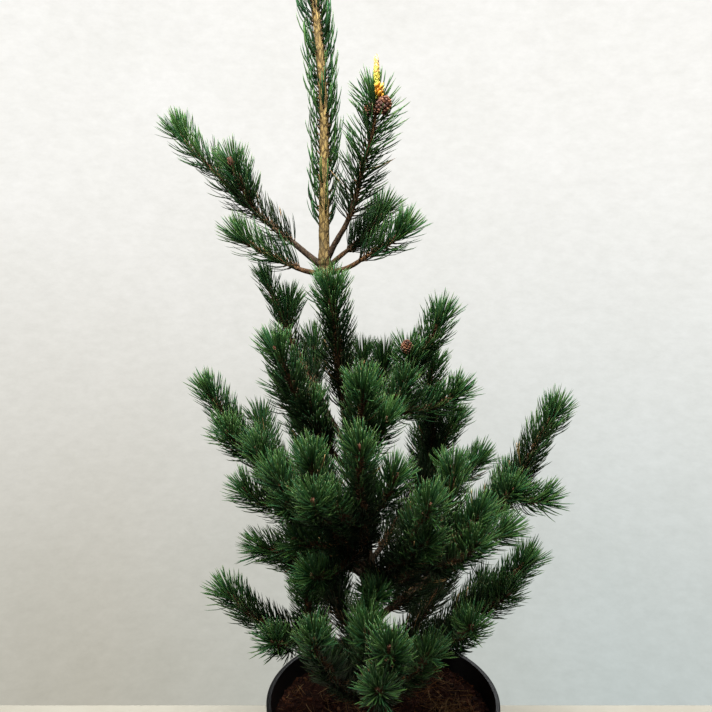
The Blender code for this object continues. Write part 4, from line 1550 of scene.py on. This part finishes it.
size = 0.0014 + 0.0052 * luck.random(CHIPS) ** 2.6
sizes = np.stack([size, size * luck.uniform(0.45, 0.8, CHIPS), size * luck.uniform(0.25, 0.5, CHIPS)],
                 axis=1)
spots = soil_spots(CHIPS) + UP * luck.uniform(-0.0004, 0.0022, CHIPS)[:, None]
tones = luck.choice(6, CHIPS, p=[0.24, 0.22, 0.15, 0.21, 0.06, 0.12])
chips = joined("bark_chips", [copies(chip_shape, luck.integers(0, 6, CHIPS), level_turns(CHIPS, 0.45),
                                     sizes, spots, tones)])
chips.data.shade_flat()
hand_over(chips, litter, "bark_mix")

size = luck.uniform(0.0008, 0.0019, CRUMBS)
spots = soil_spots(CRUMBS, LITTER_EDGE + 0.002) + UP * luck.uniform(0.0, 0.0018, CRUMBS)[:, None]
tones = luck.choice(6, CRUMBS, p=[0.24, 0.24, 0.18, 0.16, 0.08, 0.10])
crumbs = joined("soil_crumbs", [copies(crumb_shape, luck.integers(0, 4, CRUMBS), level_turns(CRUMBS, 1.0),
                                       size, spots, tones)])
crumbs.data.shade_flat()
hand_over(crumbs, litter, "bark_mix")
print(len(chips.data.polygons) + len(crumbs.data.polygons), "faces of chips and crumbs")

# %% Lay the fallen needles, fibres and grass
FALLEN = 170
FIBRES = 600
GRASS = 210
GRASS_WAY = radians(-16)  # the dry grass gathers on this side of the container


def lying(count, spots, length, width, tones, rise, bends):
    """Needle shapes that lie on the soil.

    Rise is how far they lift, bends which of the curls they may have.
    """
    turn = luck.uniform(0.0, tau, count)
    main = normal_rows(np.stack([np.cos(turn), np.sin(turn), luck.normal(rise, 0.10, count)], axis=1))
    lean = np.stack([-np.sin(turn), np.cos(turn), luck.normal(-0.15, 0.25, count)], axis=1)
    version = luck.choice(bends, count) * len(ROLLS) + luck.integers(0, len(ROLLS), count)
    sizes = np.stack([width, width, length / NEEDLE_LENGTH], axis=1)
    middle = spots - main * (length * 0.45)[:, None]
    return copies(needle, version, turned_to(main, lean), sizes, middle, tones)


def inside_rim(count, length, edge=LITTER_EDGE):
    """Places that leave room for half a piece's length before the wall."""
    radius = np.sqrt(luck.uniform(TRUNK_KEEP**2, 1.0, count)) * np.maximum(edge - 0.5 * length, 0.03)
    turn = luck.uniform(0.0, tau, count)
    return on_soil(radius * np.cos(turn), radius * np.sin(turn))


length = luck.uniform(0.020, 0.032, FALLEN)
spots = inside_rim(FALLEN, length) + UP * luck.uniform(0.0014, 0.0045, FALLEN)[:, None]
tones = STRAW_TONE + luck.choice(6, FALLEN, p=[0.25, 0.2, 0.2, 0.1, 0.15, 0.1])
groups = [lying(FALLEN, spots, length, np.full(FALLEN, 0.9), tones, 0.0, [0, 1, 2, 3])]
length = luck.uniform(0.005, 0.017, FIBRES)
spots = inside_rim(FIBRES, length) + UP * luck.uniform(0.0006, 0.0034, FIBRES)[:, None]
tones = STRAW_TONE + luck.choice(6, FIBRES, p=[0.22, 0.16, 0.22, 0.08, 0.14, 0.18])
groups.append(lying(FIBRES, spots, length, luck.uniform(0.30, 0.55, FIBRES), tones, 0.05, [2, 4, 5, 6, 7]))
fallen = joined("fallen_needles_and_fibres", groups)
hand_over(fallen, litter, "bark_mix")

length = luck.uniform(0.016, 0.040, GRASS)
radius = luck.uniform(0.060, 0.105, GRASS)
turn = GRASS_WAY + luck.normal(0.0, 0.42, GRASS)
spots = on_soil(radius * np.cos(turn), radius * np.sin(turn)) + UP * luck.uniform(0.001, 0.006, GRASS)[:,
                                                                                                       None]
reach = np.linalg.norm(spots[:, :2], axis=1) + 0.55 * length
spots[:, :2] *= np.minimum(1.0, LITTER_EDGE / reach)[:, None]
tones = STRAW_TONE + luck.choice(6, GRASS, p=[0.25, 0.25, 0.1, 0.15, 0.2, 0.05])
grass = joined("dry_grass", [lying(GRASS, spots, length, luck.uniform(0.45, 0.85, GRASS), tones, 0.12,
                                   [2, 3, 5, 6, 7])])
hand_over(grass, litter, "bark_mix")
print(len(fallen.data.polygons) + len(grass.data.polygons), "faces of litter")

# %% [markdown]
# ## The floor and the light
#
# The tree stands on a pale floor in front of a bare, off-white room. The light is soft and comes from above
# and a little in front, so the tops of the tufts shine and the heart of the tree falls nearly black.

# %% Floor, light and background
def soft_light(name, place, aim, size, power, colour):
    bpy.ops.object.light_add(type="AREA", location=place)
    lamp = bpy.context.object
    lamp.name = name
    lamp.data.shape = "DISK"
    lamp.data.size = size
    lamp.data.energy = power
    lamp.data.color = colour
    lamp.rotation_euler = (Vector(aim) - Vector(place)).to_track_quat("-Z", "Y").to_euler()
    return lamp


soft_light("overhead", (-0.12, -0.35, 1.62), (0.0, 0.0, 0.6), 0.5, 35.0, (1.0, 0.985, 0.94))
soft_light("upper_left", (-0.42, -0.75, 1.25), (-0.06, 0.0, 0.92), 0.25, 3.5, (1.0, 0.99, 0.96))
soft_light("behind", (0.35, 1.15, 1.75), (0.0, 0.0, 0.5), 0.9, 14.0, (0.96, 0.98, 1.0))
soft_light("front_fill", (0.4, -1.9, 1.5), (0.0, 0.0, 0.5), 1.0, 4.0, (0.98, 0.99, 1.0))

bpy.ops.mesh.primitive_plane_add(size=1.0, location=(0.0, -0.857, 0.0))
floor = bpy.context.object
floor.name = "floor"
floor.scale = (4.0, 2.286, 1.0)
settle(floor)
floor_finish, tree, shader = new_finish("floor", 0.7, 0.3)
where = add_node(tree, "ShaderNodeTexCoord").outputs["Object"]
cloud = noise(tree, where, 9.0, 4.0)
tree.links.new(ramp(tree, cloud, [(0.3, (0.56, 0.53, 0.45)), (0.7, (0.62, 0.60, 0.52))]),
               shader.inputs["Base Color"])
floor.data.materials.append(floor_finish)
floor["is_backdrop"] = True

world = bpy.data.worlds.new("room")
bpy.context.scene.world = world
world.use_nodes = True
sky = world.node_tree
background = sky.nodes["Background"]
way = add_node(sky, "ShaderNodeTexCoord").outputs["Generated"]
axes = add_node(sky, "ShaderNodeSeparateXYZ")
sky.links.new(way, axes.inputs[0])
level = add_node(sky, "ShaderNodeMapRange", interpolation_type="SMOOTHSTEP")
feed(sky, level, "Value", axes.outputs[2])
LOWEST_WAY, HIGHEST_WAY = -0.7, 0.2  # upward share of the directions between which the wall's shade changes
level.inputs["From Min"].default_value = LOWEST_WAY
level.inputs["From Max"].default_value = HIGHEST_WAY
PALE_WALL = (0.97, 0.96, 0.93)
WARM_SHADE = (0.45, 0.43, 0.36)
COOL_SHADE = (0.50, 0.56, 0.55)
warm = mixed(sky, level.outputs[0], WARM_SHADE, PALE_WALL)
cool = mixed(sky, level.outputs[0], COOL_SHADE, PALE_WALL)
aside = add_node(sky, "ShaderNodeMapRange")
feed(sky, aside, "Value", axes.outputs[0])
aside.inputs["From Min"].default_value = -0.30
aside.inputs["From Max"].default_value = 0.30
shade = mixed(sky, aside.outputs[0], warm, cool)
weave = noise(sky, way, 55.0, 6.0, 0.75, stretch=(1.0, 1.0, 1.8))
clouds = noise(sky, way, 7.0, 3.0, 0.6)
shade = mixed(sky, 1.0, shade, ramp(sky, weave,
                                    [(0.30, (0.940, 0.940, 0.935)), (0.70, (1.035, 1.035, 1.035))]),
              "MULTIPLY")
shade = mixed(sky, 1.0, shade, ramp(sky, clouds, [(0.30, (0.97, 0.97, 0.96)), (0.70, (1.02, 1.02, 1.02))]),
              "MULTIPLY")
seen = add_node(sky, "ShaderNodeLightPath").outputs["Is Camera Ray"]
sky.links.new(mixed(sky, seen, (0.022, 0.024, 0.020), shade), background.inputs["Color"])
bpy.context.scene.view_settings.view_transform = "Standard"

# %% [markdown]
# ## The sizes
#
# The frame's box and the finished model's box are put side by side, so that the sizes can be compared.

# %% Sizes and finish
sizes = {"frame": FRAME_BOX, "model": [list(corner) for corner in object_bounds()]}
print("model box", sizes["model"])
